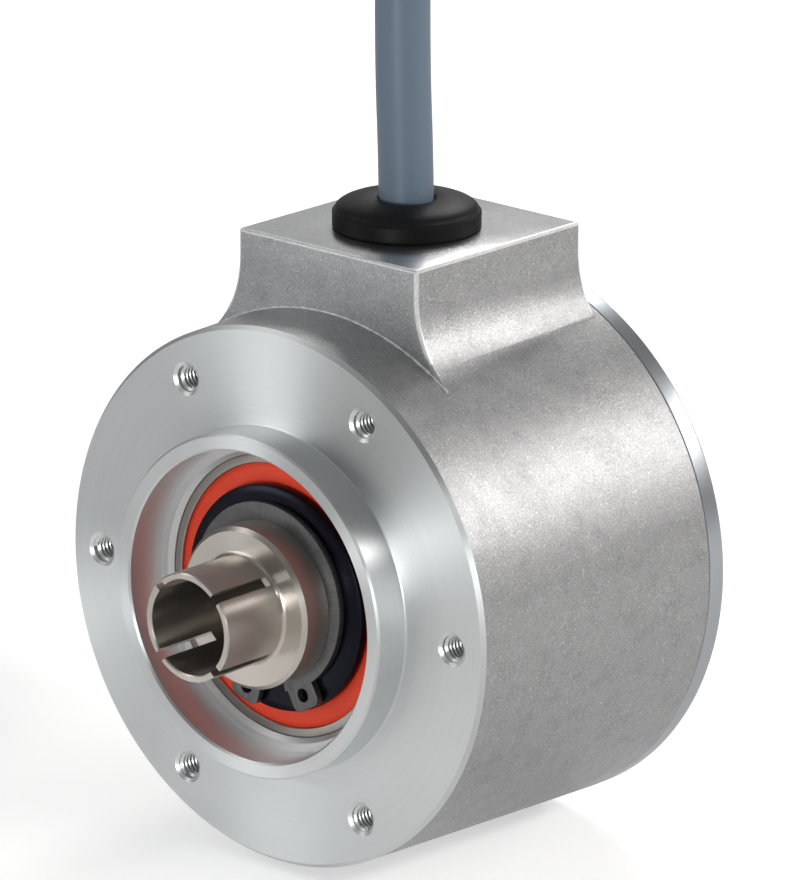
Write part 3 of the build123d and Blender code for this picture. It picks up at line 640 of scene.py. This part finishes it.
def buildCable(s):
    points = cableRoute(s)
    cable = curvePiece("cableCord", "NURBS", points, s["radius"], 6, "cableSheath", 8)
    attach(cable, "housing")
    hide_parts("cable", "cable_coil")
    coilMiddle = cablePoint(s, s["coilAside"], s["coilAway"], s["floor"])
    buildCableEnd(endSettings, points, coilMiddle)


buildCable(cableSettings)
print("cable laid")


# housing: cast body with machined front, boss and threaded holes
housingSettings = {
    "flangeR": 40.0, "flangeChamfer": 0.6, "rearR": 41.4, "length": 48.0,
    "spigotR": 25.4, "spigotHeight": 5.8, "spigotEdge": 0.3, "rootR": 0.3, "boreR": 23.0,
    "ledge": 0.9, "leadIn": 0.7, "seatR": 21.0, "landR": 18.5, "springRoom": 12.0, "rearSeat": 14.6,
    "hubEnd": 23.6, "hubR": 25.0, "frontWall": 13.0, "cavityR": 36.5, "registerR": 37.5, "registerY": 44.5,
    "bossHalf": 17.1, "bossFront": 11.2, "bossRear": 46.9, "bossTop": 49.7, "flareR": 16.0,
    "bossEdge": 0.5, "outletR": 7.5, "outletY": 28.4, "bossWall": 4.6, "chamberFloor": 28.5,
    "lugR": 4.5, "lugCircle": 32.6, "lugHoleR": 1.5, "lugHoleDepth": 11.0,
    "pilotR": 1.5, "pilotCircle": 32.0, "pilotDepth": 7.0,
    "flareSteps": 14, "footIn": 0.96, "footDown": 0.93, "overlap": 0.5, "segments": 256,
}


def housingBody(s):
    lip = s["spigotEdge"] - s["spigotHeight"]
    outline = [
        (s["boreR"] + s["spigotEdge"], -s["spigotHeight"]),
        (s["spigotR"] - s["spigotEdge"], -s["spigotHeight"]),
        (s["spigotR"], lip),
        *arcPoints((s["spigotR"] + s["rootR"], -s["rootR"]), s["rootR"], 180, 90, 4),
        (s["flangeR"] - s["flangeChamfer"], 0),
        (s["flangeR"], s["flangeChamfer"]),
        (s["rearR"], s["length"]),
        (s["registerR"], s["length"]),
        (s["registerR"], s["registerY"]),
        (s["cavityR"], s["registerY"]),
        (s["cavityR"], s["frontWall"]),
        (s["hubR"], s["frontWall"]),
        (s["hubR"], s["hubEnd"]),
        (s["seatR"], s["hubEnd"]),
        (s["seatR"], s["rearSeat"]),
        (s["landR"], s["rearSeat"]),
        (s["landR"], s["springRoom"]),
        (s["seatR"], s["springRoom"]),
        (s["seatR"], s["ledge"] + s["leadIn"]),
        (s["seatR"] + s["leadIn"], s["ledge"]),
        (s["boreR"], s["ledge"]),
        (s["boreR"], lip),
    ]
    return meshPiece("housingShell", profileSpin(outline, s["segments"]), "castAluminium")


def bossOutline(s):
    wallR = s["flangeR"] + (s["rearR"] - s["flangeR"]) * s["bossFront"] / s["length"]
    centreX = s["bossHalf"] + s["flareR"]
    centreZ = math.sqrt((wallR + s["flareR"]) ** 2 - centreX ** 2)
    lean = math.degrees(math.atan2(centreZ, centreX))
    flare = arcPoints((centreX, centreZ), s["flareR"], 180, 180 + lean, s["flareSteps"])
    footX, footZ = flare[-1]
    right = [(s["bossHalf"], s["bossTop"]), *flare, (footX * s["footIn"], footZ * s["footDown"])]
    return right + [(-x, z) for x, z in reversed(right)]


def housingBoss(s):
    bm = bmesh.new()
    verts = [bm.verts.new((x * mm, s["bossFront"] * mm, z * mm)) for x, z in bossOutline(s)]
    face = bm.faces.new(verts)
    made = bmesh.ops.extrude_face_region(bm, geom=[face])["geom"]
    moved = [g for g in made if isinstance(g, bmesh.types.BMVert)]
    bmesh.ops.translate(bm, verts=moved, vec=(0, (s["bossRear"] - s["bossFront"]) * mm, 0))
    bmesh.ops.recalc_face_normals(bm, faces=bm.faces)
    low = s["flangeR"] * 0.8 * mm
    corners = [e for e in bm.edges if len(e.link_faces) == 2 and e.calc_face_angle() > math.radians(40)]
    sharp = [e for e in corners if min(v.co.z for v in e.verts) > low]
    bmesh.ops.bevel(
        bm, geom=sharp, offset=s["bossEdge"] * mm, segments=3, profile=0.5, affect="EDGES", material=-1,
    )
    return meshPiece("boss", bm, "castAluminium")


holeSettings = {
    "circleR": 34.0, "count": 6, "r": 2.0, "sinkR": 2.55, "halfSink": 60.0, "depth": 9.0, "tip": 1.2,
    "segments": 40, "pitch": 0.7, "crestR": 1.62, "rootR": 2.02, "crestHalf": 0.06, "flankShare": 0.48,
    "stepsPerTurn": 24, "start": 0.75,
}


def holeCutter(s):
    slope = math.tan(math.radians(s["halfSink"]))
    sinkDepth = (s["sinkR"] - s["r"]) / slope
    outline = [
        (0, -1), (s["sinkR"] + slope, -1), (s["r"], sinkDepth), (s["r"], s["depth"]),
        (0, s["depth"] + s["tip"]),
    ]
    bm = profileSpin(outline, s["segments"])
    bmesh.ops.translate(bm, verts=bm.verts, vec=(s["circleR"] * mm, 0, 0))
    spreadCopies(bm, s["count"])
    return meshPiece("holes", bm, "machinedFace")


def buildThreads(s):
    # one ridge wound as a helix down each hole
    bm = bmesh.new()
    flank = s["pitch"] * s["flankShare"]
    crest = s["crestHalf"]
    ridge = [(s["rootR"], -flank), (s["crestR"], -crest), (s["crestR"], crest), (s["rootR"], flank)]
    verts = [bm.verts.new((r * mm, y * mm, 0)) for r, y in ridge]
    edges = [bm.edges.new((a, b)) for a, b in zip(verts, verts[1:] + verts[:1])]
    turns = int(s["depth"] / s["pitch"]) - 1
    rise = s["pitch"] * mm / s["stepsPerTurn"]
    bmesh.ops.spin(
        bm, geom=verts + edges, axis=(0, 1, 0), cent=(0, 0, 0), dvec=(0, rise, 0),
        angle=fullTurn * turns, steps=s["stepsPerTurn"] * turns, use_merge=False, use_duplicate=False,
    )
    bmesh.ops.holes_fill(bm, edges=[e for e in bm.edges if len(e.link_faces) == 1], sides=0)
    bmesh.ops.recalc_face_normals(bm, faces=bm.faces)
    bmesh.ops.translate(bm, verts=bm.verts, vec=(s["circleR"] * mm, s["start"] * mm, 0))
    spreadCopies(bm, s["count"])
    threads = meshPiece("flangeThreads", bm, "boreWall")
    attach(threads, "housing")


def coverLugs(s):
    length = s["registerY"] - s["frontWall"]
    middle = (s["lugCircle"], s["frontWall"] - s["overlap"] + length / 2, 0)
    bm = cylinderForm(s["lugR"], length + 2 * s["overlap"], middle)
    spreadCopies(bm, 4, 45)
    return meshPiece("coverLugs", bm, "castAluminium")


def bossChamber(s):
    # the room for the wires inside the boss
    halfWidth = s["bossHalf"] - s["bossWall"]
    front = s["bossFront"] + s["bossWall"]
    rear = s["bossRear"] - s["bossWall"]
    height = s["bossTop"] - s["bossWall"] - s["chamberFloor"]
    middle = (0, (front + rear) / 2, s["chamberFloor"] + height / 2)
    bm = boxForm((2 * halfWidth, rear - front, height), middle)
    return meshPiece("bossChamber", bm, "castAluminium")


def drilledHoles(name, radius, depth, circleR, mouthY, count, startDegrees, finish, segments=32):
    # cutters for round holes that open to the back
    middle = (circleR, mouthY + 0.5 - depth / 2, 0)
    bm = cylinderForm(radius, depth + 1, middle, segments=segments)
    spreadCopies(bm, count, startDegrees)
    return meshPiece(name, bm, finish)


paintSettings = {
    "flat": 0.97, "leaning": 0.2, "topBand": 0.3, "edgeBand": 0.55, "bossLow": 36.0, "edgeOut": 0.2,
    "holeRear": 10.5, "holeWall": 0.95, "boreBand": 0.05, "frontBand": 0.1,
}


def housingFinish(face, s, holes, p):
    # which finish a face of the housing has, from its place and direction
    x, y, z = (c / mm for c in face.center)
    radius = math.hypot(x, z)
    alongY, alongZ = abs(face.normal.y), abs(face.normal.z)
    fromEnds = min(abs(y - s["bossFront"]), abs(y - s["bossRear"]))
    onTopEdge = z > s["bossTop"] - p["edgeBand"] and p["leaning"] < alongZ < p["flat"]
    onEdge = z > p["bossLow"] and fromEnds < p["edgeBand"] and p["leaning"] < alongY < p["flat"]
    byHole = y < p["holeRear"] and abs(radius - holes["circleR"]) < holes["sinkR"]
    if z > s["bossTop"] - p["topBand"] and alongZ > p["flat"]:
        return "milledTop"
    if byHole and alongY < p["holeWall"]:
        return "boreWall"
    # the boss's edges get the pale edge finish: wear and a painted highlight
    if onTopEdge or (onEdge and radius > s["rearR"] + p["edgeOut"]):
        return "wornEdgeAndHighlight"
    if radius < s["boreR"] + p["boreBand"]:
        return "boreWall"
    if y < s["flangeChamfer"] + p["frontBand"] and radius < s["flangeR"] + p["frontBand"]:
        return "machinedFace"
    return "castAluminium"


def paintHousing(shell, s):
    mesh = shell.data
    for finish in ("machinedFace", "boreWall", "milledTop", "wornEdgeAndHighlight"):
        mesh.materials.append(materials[finish])
    order = [m.name for m in mesh.materials]
    for face in mesh.polygons:
        face.material_index = order.index(housingFinish(face, s, holeSettings, paintSettings))


def buildHousing(s):
    shell = housingBody(s)
    cutWith(shell, coverLugs(s), "UNION")
    cutWith(shell, housingBoss(s), "UNION")
    cutWith(shell, bossChamber(s))
    cutWith(shell, drilledHoles(
        "lugHoles", s["lugHoleR"], s["lugHoleDepth"], s["lugCircle"], s["registerY"], 4, 45, "boreWall",
    ))
    cutWith(shell, drilledHoles(
        "pilotHoles", s["pilotR"], s["pilotDepth"], s["pilotCircle"], s["frontWall"], 3, 30, "boreWall",
    ))
    outletDepth = s["bossTop"] - s["cavityR"] + 4
    middle = (0, s["outletY"], s["bossTop"] + 1 - outletDepth / 2)
    outlet = cylinderForm(s["outletR"], outletDepth, middle, "Z")
    cutWith(shell, meshPiece("outlet", outlet, "castAluminium"))
    cutWith(shell, holeCutter(holeSettings))
    paintHousing(shell, s)
    finishShading(shell, 28)
    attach(shell, "housing")
    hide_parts("housing")


flashSettings = {
    "y": 11.12, "startDegrees": 55.0, "endDegrees": 125.0, "points": 90, "radius": 0.22,
    "lift": 0.02, "liftWave": 0.05, "sideWave": 0.06, "thickness": 0.9, "thicknessWave": 0.5,
    "thinnest": 0.35,
    # strength, step and start of three sines out of step, which together look irregular
    "sines": ((0.5, 1.7, 0), (0.3, 0.61, 1), (0.2, 3.9, 2)),
}


def buildFlash(s, h):
    # the trimmed flash line left by the mould at the foot of the boss
    wallR = h["flangeR"] + (h["rearR"] - h["flangeR"]) * s["y"] / h["length"]
    places, thicknesses = [], []
    for index in range(s["points"] + 1):
        share = index / s["points"]
        angle = math.radians(s["startDegrees"] + (s["endDegrees"] - s["startDegrees"]) * share)
        wave = sum(strength * math.sin(index * step + start) for strength, step, start in s["sines"])
        reach = wallR + s["lift"] + s["liftWave"] * wave
        side = s["y"] - s["sideWave"] * wave
        places.append(Vector((reach * math.cos(angle), side, reach * math.sin(angle))) * mm)
        thicknesses.append(max(s["thinnest"], s["thickness"] + s["thicknessWave"] * wave))
    # drawn in the pale edge finish, a painted highlight along the flash
    flash = curvePiece("flashLine", "POLY", places, s["radius"], 2, "wornEdgeAndHighlight")
    for point, thickness in zip(flash.data.splines[0].points, thicknesses):
        point.radius = thickness
    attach(flash, "housing")


buildHousing(housingSettings)
buildFlash(flashSettings, housingSettings)
buildThreads(holeSettings)
print("housing built")


# back cover: turned disc with a bright rim and a shadow gap towards the casting
coverSettings = {
    "plugR": 37.47, "plugY": 44.55, "joinY": 48.0, "rimR": 41.4, "rearY": 51.5, "edge": 0.6, "segments": 256,
    "gap": 0.22, "gapDepth": 0.7, "gapChamfer": 0.1, "circleR": 32.6, "holeR": 1.7, "headR": 2.9,
    "sinkSegments": 40,
}


def buildCover(s):
    gapR = s["rimR"] - s["gapDepth"]
    gapY = s["joinY"] + s["gap"]
    outline = [
        (0, s["plugY"]), (s["plugR"], s["plugY"]), (s["plugR"], s["joinY"]), (gapR, s["joinY"]), (gapR, gapY),
        (s["rimR"] - s["gapChamfer"], gapY), (s["rimR"], gapY + s["gapChamfer"]),
        *arcPoints((s["rimR"] - s["edge"], s["rearY"] - s["edge"]), s["edge"], 0, 90, 6),
        (0, s["rearY"]),
    ]
    cover = meshPiece("coverDisc", profileSpin(outline, s["segments"]), "turnedRim")
    sink = [
        (0, s["rearY"] + 1), (s["headR"] + 1, s["rearY"] + 1),
        (s["holeR"], s["rearY"] - s["headR"] + s["holeR"]), (s["holeR"], s["plugY"] - 1),
        (0, s["plugY"] - 1),
    ]
    bm = profileSpin(sink, s["sinkSegments"])
    bmesh.ops.translate(bm, verts=bm.verts, vec=(s["circleR"] * mm, 0, 0))
    spreadCopies(bm, 4, 45)
    cutWith(cover, meshPiece("sinks", bm, "turnedRim"))
    cover.data.materials.append(materials["machinedFace"])
    for face in cover.data.polygons:
        if face.normal.y > 0.9:
            face.material_index = len(cover.data.materials) - 1
    finishShading(cover, 28)
    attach(cover, "housing")
    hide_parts("back_cover")


buildCover(coverSettings)
print("back cover built")


# hollow shaft with its slotted collet
shaftSettings = {
    "frontY": -18.1, "colletR": 8.0, "boreR": 7.0, "edge": 0.18, "noseY": -6.5, "noseR": 12.0,
    "noseChamfer": 0.6, "rootR": 0.6, "grooveR": 11.35, "grooveY": (-1.45, -0.15), "seatR": 12.5,
    "seatY": 0.35, "endY": 23.6, "shoulderR": 14.5, "shoulderY": 27.0, "tailR": 9.0, "tailY": 30.2,
    "boreEnd": 23.9, "boreTip": 4.2,
    "slotWidth": 1.5, "slotEnd": -7.3, "slotCount": 4,
    "screwCircle": 12.0, "screwHoleR": 1.0, "screwHoleDepth": 2.6, "segments": 160,
}


def buildShaft(s):
    root = arcPoints((s["colletR"] + s["rootR"], s["noseY"] - s["rootR"]), s["rootR"], 180, 90, 6)
    outline = [
        (0, s["boreEnd"] + s["boreTip"]), (s["boreR"], s["boreEnd"]), (s["boreR"], s["frontY"] + s["edge"]),
        (s["boreR"] + s["edge"], s["frontY"]), (s["colletR"] - s["edge"], s["frontY"]),
        (s["colletR"], s["frontY"] + s["edge"]), *root,
        (s["noseR"] - s["noseChamfer"], s["noseY"]), (s["noseR"], s["noseY"] + s["noseChamfer"]),
        (s["noseR"], s["grooveY"][0]), (s["grooveR"], s["grooveY"][0]),
        (s["grooveR"], s["grooveY"][1]), (s["noseR"], s["grooveY"][1]),
        (s["seatR"], s["seatY"]), (s["seatR"], s["endY"]), (s["shoulderR"], s["endY"]),
        (s["shoulderR"], s["shoulderY"]), (s["tailR"], s["shoulderY"]), (s["tailR"], s["tailY"]),
        (0, s["tailY"]),
    ]
    shaft = meshPiece("colletShaft", profileSpin(outline, s["segments"]), "stainless")
    length = s["slotEnd"] - s["frontY"] + 2
    middle = (s["colletR"], s["slotEnd"] - length / 2, 0)
    bm = boxForm((s["colletR"], length, s["slotWidth"]), middle)
    spreadCopies(bm, s["slotCount"], 45)
    cutWith(shaft, meshPiece("slots", bm, "stainless"))
    cutWith(shaft, drilledHoles(
        "hubScrewHoles", s["screwHoleR"], s["screwHoleDepth"], s["screwCircle"], s["shoulderY"], 3, 90,
        "stainless", 24,
    ))
    finishShading(shaft, 28)
    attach(shaft, "shaft")
    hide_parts("hollow_shaft")


buildShaft(shaftSettings)
print("shaft built")


# rings in the recess
ringSettings = {
    "slingerRing": {
        "node": "slinger_ring", "body": "shaft", "slot": "black_steel", "finish": "blackSteel",
        "segments": 160,
        "outline": [
            (12.51, 0.2), (12.8, -0.2), (14.4, -0.2), (15.4, 0.0), (16.35, 0.12), (16.7, 0.28), (16.8, 0.55),
            (16.8, 1.35), (14.7, 1.35), (14.7, 1.6), (12.51, 1.6),
        ],
    },
    "orangeSealRing": {
        "node": "front_bearing_seal", "body": "housing", "slot": "orange_rubber", "finish": "orangeSeal",
        "segments": 160,
        "outline": [
            (15.35, 2.25), (16.15, 1.95), (18.9, 1.95), (19.15, 2.0), (19.3, 2.12), (19.45, 2.12),
            (19.58, 2.2), (19.58, 2.68), (15.35, 2.68),
        ],
    },
    "outerRing": {
        "node": "front_bearing_outer_ring", "body": "housing", "slot": "bearing_steel",
        "finish": "groundSteel", "segments": 192,
        "outline": [
            (19.6, 1.72), (19.72, 1.6), (20.6, 1.6), (20.88, 1.72), (21.0, 2.0), (21.0, 10.2), (20.6, 10.6),
            (19.6, 10.6), (19.6, 9.5), (18.5, 9.5), (18.5, 7.8), (19.15, 6.1), (18.5, 4.4), (18.5, 2.7),
            (19.6, 2.7),
        ],
    },
}


def buildRing(name, s):
    piece = meshPiece(name, profileSpin(s["outline"], s["segments"]), s["finish"], 40)
    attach(piece, s["body"])
    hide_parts(s["node"])


for ringName, ringValues in ringSettings.items():
    buildRing(ringName, ringValues)
print("rings built")


# grommet: rubber with a straight band and a domed shoulder
grommetSettings = {
    "r": 10.8, "base": 49.7, "band": 2.45, "rise": 4.4, "domeR": 5.2, "boreR": 4.02, "neckR": 7.45,
    "ceiling": 45.1, "flangeR": 9.0, "flange": 1.6, "outletY": 28.4, "domeSteps": 8, "domeIn": 0.35,
    "seam": 0.15, "footEdge": 0.25, "mouth": 0.35, "mouthDepth": 0.5, "segments": 96,
}


def buildGrommet(s):
    top = s["base"] + s["rise"]
    bandTop = s["base"] + s["band"]
    seam = s["seam"]
    shoulder = []
    for index in range(s["domeSteps"] + 1):
        turn = index / s["domeSteps"] * math.pi / 2
        reach = s["domeR"] + (s["r"] - s["domeIn"] - s["domeR"]) * math.cos(turn)
        shoulder.append((reach, bandTop + seam + (top - bandTop - seam) * math.sin(turn)))
    outline = [
        (s["neckR"], s["base"]), (s["r"] - s["footEdge"], s["base"]), (s["r"], s["base"] + s["footEdge"]),
        (s["r"], bandTop - seam), (s["r"] - seam, bandTop + seam / 3), *shoulder,
        (s["boreR"] + s["mouth"], top - seam), (s["boreR"], top - s["mouthDepth"]),
        (s["boreR"], s["ceiling"] - s["flange"]), (s["flangeR"], s["ceiling"] - s["flange"]),
        (s["flangeR"], s["ceiling"]), (s["neckR"], s["ceiling"]),
    ]
    # spun about Y, then stood up over the outlet
    bm = profileSpin(outline, s["segments"])
    quarterTurn(bm)
    bmesh.ops.translate(bm, verts=bm.verts, vec=(0, s["outletY"] * mm, 0))
    bmesh.ops.recalc_face_normals(bm, faces=bm.faces)
    grommet = meshPiece("grommetRubber", bm, "blackRubber", 32)
    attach(grommet, "housing")
    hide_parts("cable_grommet")


buildGrommet(grommetSettings)
print("grommet built")


# circlip: the frame's own outline with broken edges
clipSettings = {"edge": 0.14, "segments": 2}


def buildClip(s):
    bm = bmesh.new()
    bm.from_mesh(nodes["circlip"].data)
    bmesh.ops.remove_doubles(bm, verts=bm.verts, dist=1e-6)
    bmesh.ops.dissolve_limit(bm, angle_limit=math.radians(0.5), verts=bm.verts, edges=bm.edges)
    rim = [e for e in bm.edges if len(e.link_faces) == 2 and e.calc_face_angle() > math.radians(60)]
    flat = [e for e in rim if abs(e.verts[0].co.y - e.verts[1].co.y) < 1e-7]
    bmesh.ops.bevel(
        bm, geom=flat, offset=s["edge"] * mm, segments=s["segments"], profile=0.5, affect="EDGES",
        material=-1, clamp_overlap=True,
    )
    clip = meshPiece("retainingClip", bm, "springSteel", 30)
    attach(clip, "shaft")
    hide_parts("circlip")


buildClip(clipSettings)
print("circlip built")


# finishes of the frame's own inner pieces
innerPieces = {
    "blackRubber": ("cover_seal",),
    "platedSteel": ("cover_screws", "board_screws", "hub_screws"),
    "groundSteel": (
        "rear_bearing_outer_ring", "front_bearing_inner_ring", "rear_bearing_inner_ring", "spacer_sleeve",
        "front_bearing_balls", "rear_bearing_balls",
    ),
    "orangeSeal": ("rear_bearing_seal",),
    "springSteel": ("preload_spring",),
    "boardGreen": ("circuit_board",),
    "turnedBrass": ("board_standoffs", "crimp_sleeve"),
    "chipBlack": ("board_chips", "sensor_head"),
    "discGlass": ("sensor_mask", "code_disc"),
    "turnedRim": ("lamp_bracket", "disc_hub"),
    "lampResin": ("lamp",),
    "headerWhite": ("wire_header",),
    "coreSheath": ("core_wires",),
    "cagePlastic": ("front_bearing_cage", "rear_bearing_cage"),
}
for finish, nodeNames in innerPieces.items():
    for nodeName in nodeNames:
        mesh = nodes[nodeName].data
        for slotIndex in range(len(mesh.materials)):
            mesh.materials[slotIndex] = materials[finish]
print("inner finishes set")


# floor, world and lamps
stageSettings = {
    "floor": -41.4, "size": 4.0, "tone": (0.80, 0.80, 0.80), "nearReach": 0.35, "farReach": 1.6,
    "nearPaintedGlow": 0.48, "farPaintedGlow": 0.82, "paintedCardSpot": (-50.0, -30.0, -41.4), "paintedCardGlow": 0.42, "paintedCardRest": 0.01,
    "paintedCardNear": 0.03, "paintedCardFar": 0.12,
}


def buildFloor(s):
    material, tree, shader = newMaterial(
        "paleFloor", Base_Color=s["tone"], Roughness=0.9, Specular_IOR_Level=0.1,
    )
    coords = addNode(tree, "ShaderNodeTexCoord")
    reach = addNode(tree, "ShaderNodeVectorMath", operation="LENGTH")
    tree.links.new(coords.outputs["Object"], reach.inputs[0])
    distance = reach.outputs["Value"]
    # the floor glows for the camera alone, more so further off: painted light that whitens the floor seen
    # directly
    lift = rangeNode(tree, distance, s["nearReach"], s["farReach"], s["nearPaintedGlow"], s["farPaintedGlow"])
    # a patch of floor that glows in mirrored rays only: a painted reflection of a white card, seen in the
    # metal
    paintedCardSpot = addNode(tree, "ShaderNodeVectorMath", operation="DISTANCE")
    tree.links.new(coords.outputs["Object"], paintedCardSpot.inputs[0])
    paintedCardSpot.inputs[1].default_value = [c * mm for c in s["paintedCardSpot"]]
    paintedReflection = rangeNode(tree, paintedCardSpot.outputs["Value"], s["paintedCardNear"], s["paintedCardFar"], s["paintedCardGlow"], s["paintedCardRest"])
    path = addNode(tree, "ShaderNodeLightPath")
    seen = mathNode(tree, "MULTIPLY", path.outputs["Is Camera Ray"], lift)
    mirrored = mathNode(tree, "MULTIPLY", path.outputs["Is Glossy Ray"], paintedReflection)
    shader.inputs["Emission Color"].default_value = (1, 1, 1, 1)
    tree.links.new(mathNode(tree, "ADD", seen, mirrored), shader.inputs["Emission Strength"])
    materials["paleFloor"] = material
    bm = bmesh.new()
    bmesh.ops.create_grid(bm, x_segments=1, y_segments=1, size=s["size"])
    bmesh.ops.translate(bm, verts=bm.verts, vec=(0, 0, s["floor"] * mm))
    floor = meshPiece("paleFloor", bm, "paleFloor")


# what the metal mirrors: grey levels from below to above, paler towards one side
worldSettings = {
    "stops": [(0.0, 0.5), (0.49, 0.30), (0.53, 0.10), (0.60, 0.13), (0.72, 0.13), (0.86, 0.20), (1.0, 0.38)],
    "paleSide": (-0.634, 0.715, 0.294), "paleNear": 0.80, "paleFar": 0.97, "paleLift": 0.48,
    "evenLight": 0.32,
}


def whiteLight(tree, strength):
    light = addNode(tree, "ShaderNodeBackground", Strength=strength)
    light.inputs["Color"].default_value = (1, 1, 1, 1)
    return light


def chooseLight(tree, factor, first, second):
    mixed = addNode(tree, "ShaderNodeMixShader")
    for index, source in enumerate((factor, first.outputs[0], second.outputs[0])):
        tree.links.new(source, mixed.inputs[index])
    return mixed


def buildWorld(s):
    world = bpy.data.worlds.new("studio")
    bpy.context.scene.world = world
    world.use_nodes = True
    tree = world.node_tree
    tree.nodes.clear()
    coords = addNode(tree, "ShaderNodeTexCoord")
    parts = addNode(tree, "ShaderNodeSeparateXYZ")
    tree.links.new(coords.outputs["Generated"], parts.inputs[0])
    ramp = addNode(tree, "ShaderNodeValToRGB")
    tree.links.new(rangeNode(tree, parts.outputs[2], -1.0, 1.0, 0.0, 1.0), ramp.inputs["Fac"])
    elements = ramp.color_ramp.elements
    for position, level in s["stops"]:
        # the ramp already has a stop at either end
        stop = {0.0: elements[0], 1.0: elements[-1]}.get(position) or elements.new(position)
        stop.color = (level, level, level, 1)
    facing = addNode(tree, "ShaderNodeVectorMath", operation="DOT_PRODUCT")
    tree.links.new(coords.outputs["Generated"], facing.inputs[0])
    facing.inputs[1].default_value = s["paleSide"]
    lift = rangeNode(tree, facing.outputs["Value"], s["paleNear"], s["paleFar"], 0.0, s["paleLift"])
    mirrored = addNode(tree, "ShaderNodeBackground", Strength=1.0)
    tree.links.new(mixColour(tree, lift, ramp.outputs[0], (1, 1, 1)), mirrored.inputs["Color"])
    path = addNode(tree, "ShaderNodeLightPath")
    unseen = chooseLight(tree, path.outputs["Is Glossy Ray"], whiteLight(tree, s["evenLight"]), mirrored)
    whole = chooseLight(tree, path.outputs["Is Camera Ray"], unseen, whiteLight(tree, 1.0))
    output = addNode(tree, "ShaderNodeOutputWorld")
    tree.links.new(whole.outputs[0], output.inputs["Surface"])


# soft boxes one metre from the part; sizes in metres, power in watts
lampSettings = {
    "rightBox": {"from": (0.82, 0.12, 0.54), "size": (0.4, 0.13), "power": 2.9, "tint": (1, 0.97, 0.95)},
    "backRightStrip": {"from": (0.56, 0.73, 0.4), "size": (0.75, 0.12), "power": 3, "tint": (1, 0.965, 0.94)},
    "backLeftBox": {
        "from": (-0.314, 0.673, 0.669), "size": (0.35, 0.3), "power": 2.6, "tint": (1, 0.98, 0.96),
    },
    "frontLowBox": {"from": (0.3, -0.95, 0.02), "size": (0.25, 0.2), "power": 3.6, "tint": (0.97, 1, 1)},
    "leftLowBox": {"from": (-0.66, -0.75, 0.13), "size": (0.3, 0.2), "power": 0.7, "tint": (0.98, 1, 1)},
    "frontLeftBox": {"from": (-0.66, -0.5, 0.56), "size": (0.5, 0.4), "power": 1.3, "tint": (1, 0.99, 0.97)},
}
lampTarget = (0, 25.0, 0)


def buildLamp(name, s):
    data = bpy.data.lights.new(name, "AREA")
    data.shape = "RECTANGLE"
    data.size, data.size_y = s["size"]
    data.energy = s["power"]
    data.color = s["tint"]
    lamp = newObject(name, data)
    middle = Vector(lampTarget) * mm
    lamp.location = middle + Vector(s["from"]).normalized()
    aim = middle - lamp.location
    lamp.rotation_euler = aim.to_track_quat("-Z", "Y").to_euler()


buildFloor(stageSettings)
buildWorld(worldSettings)
for lampName, lampValues in lampSettings.items():
    buildLamp(lampName, lampValues)
bpy.context.scene.view_settings.view_transform = "Standard"
print("studio lit")
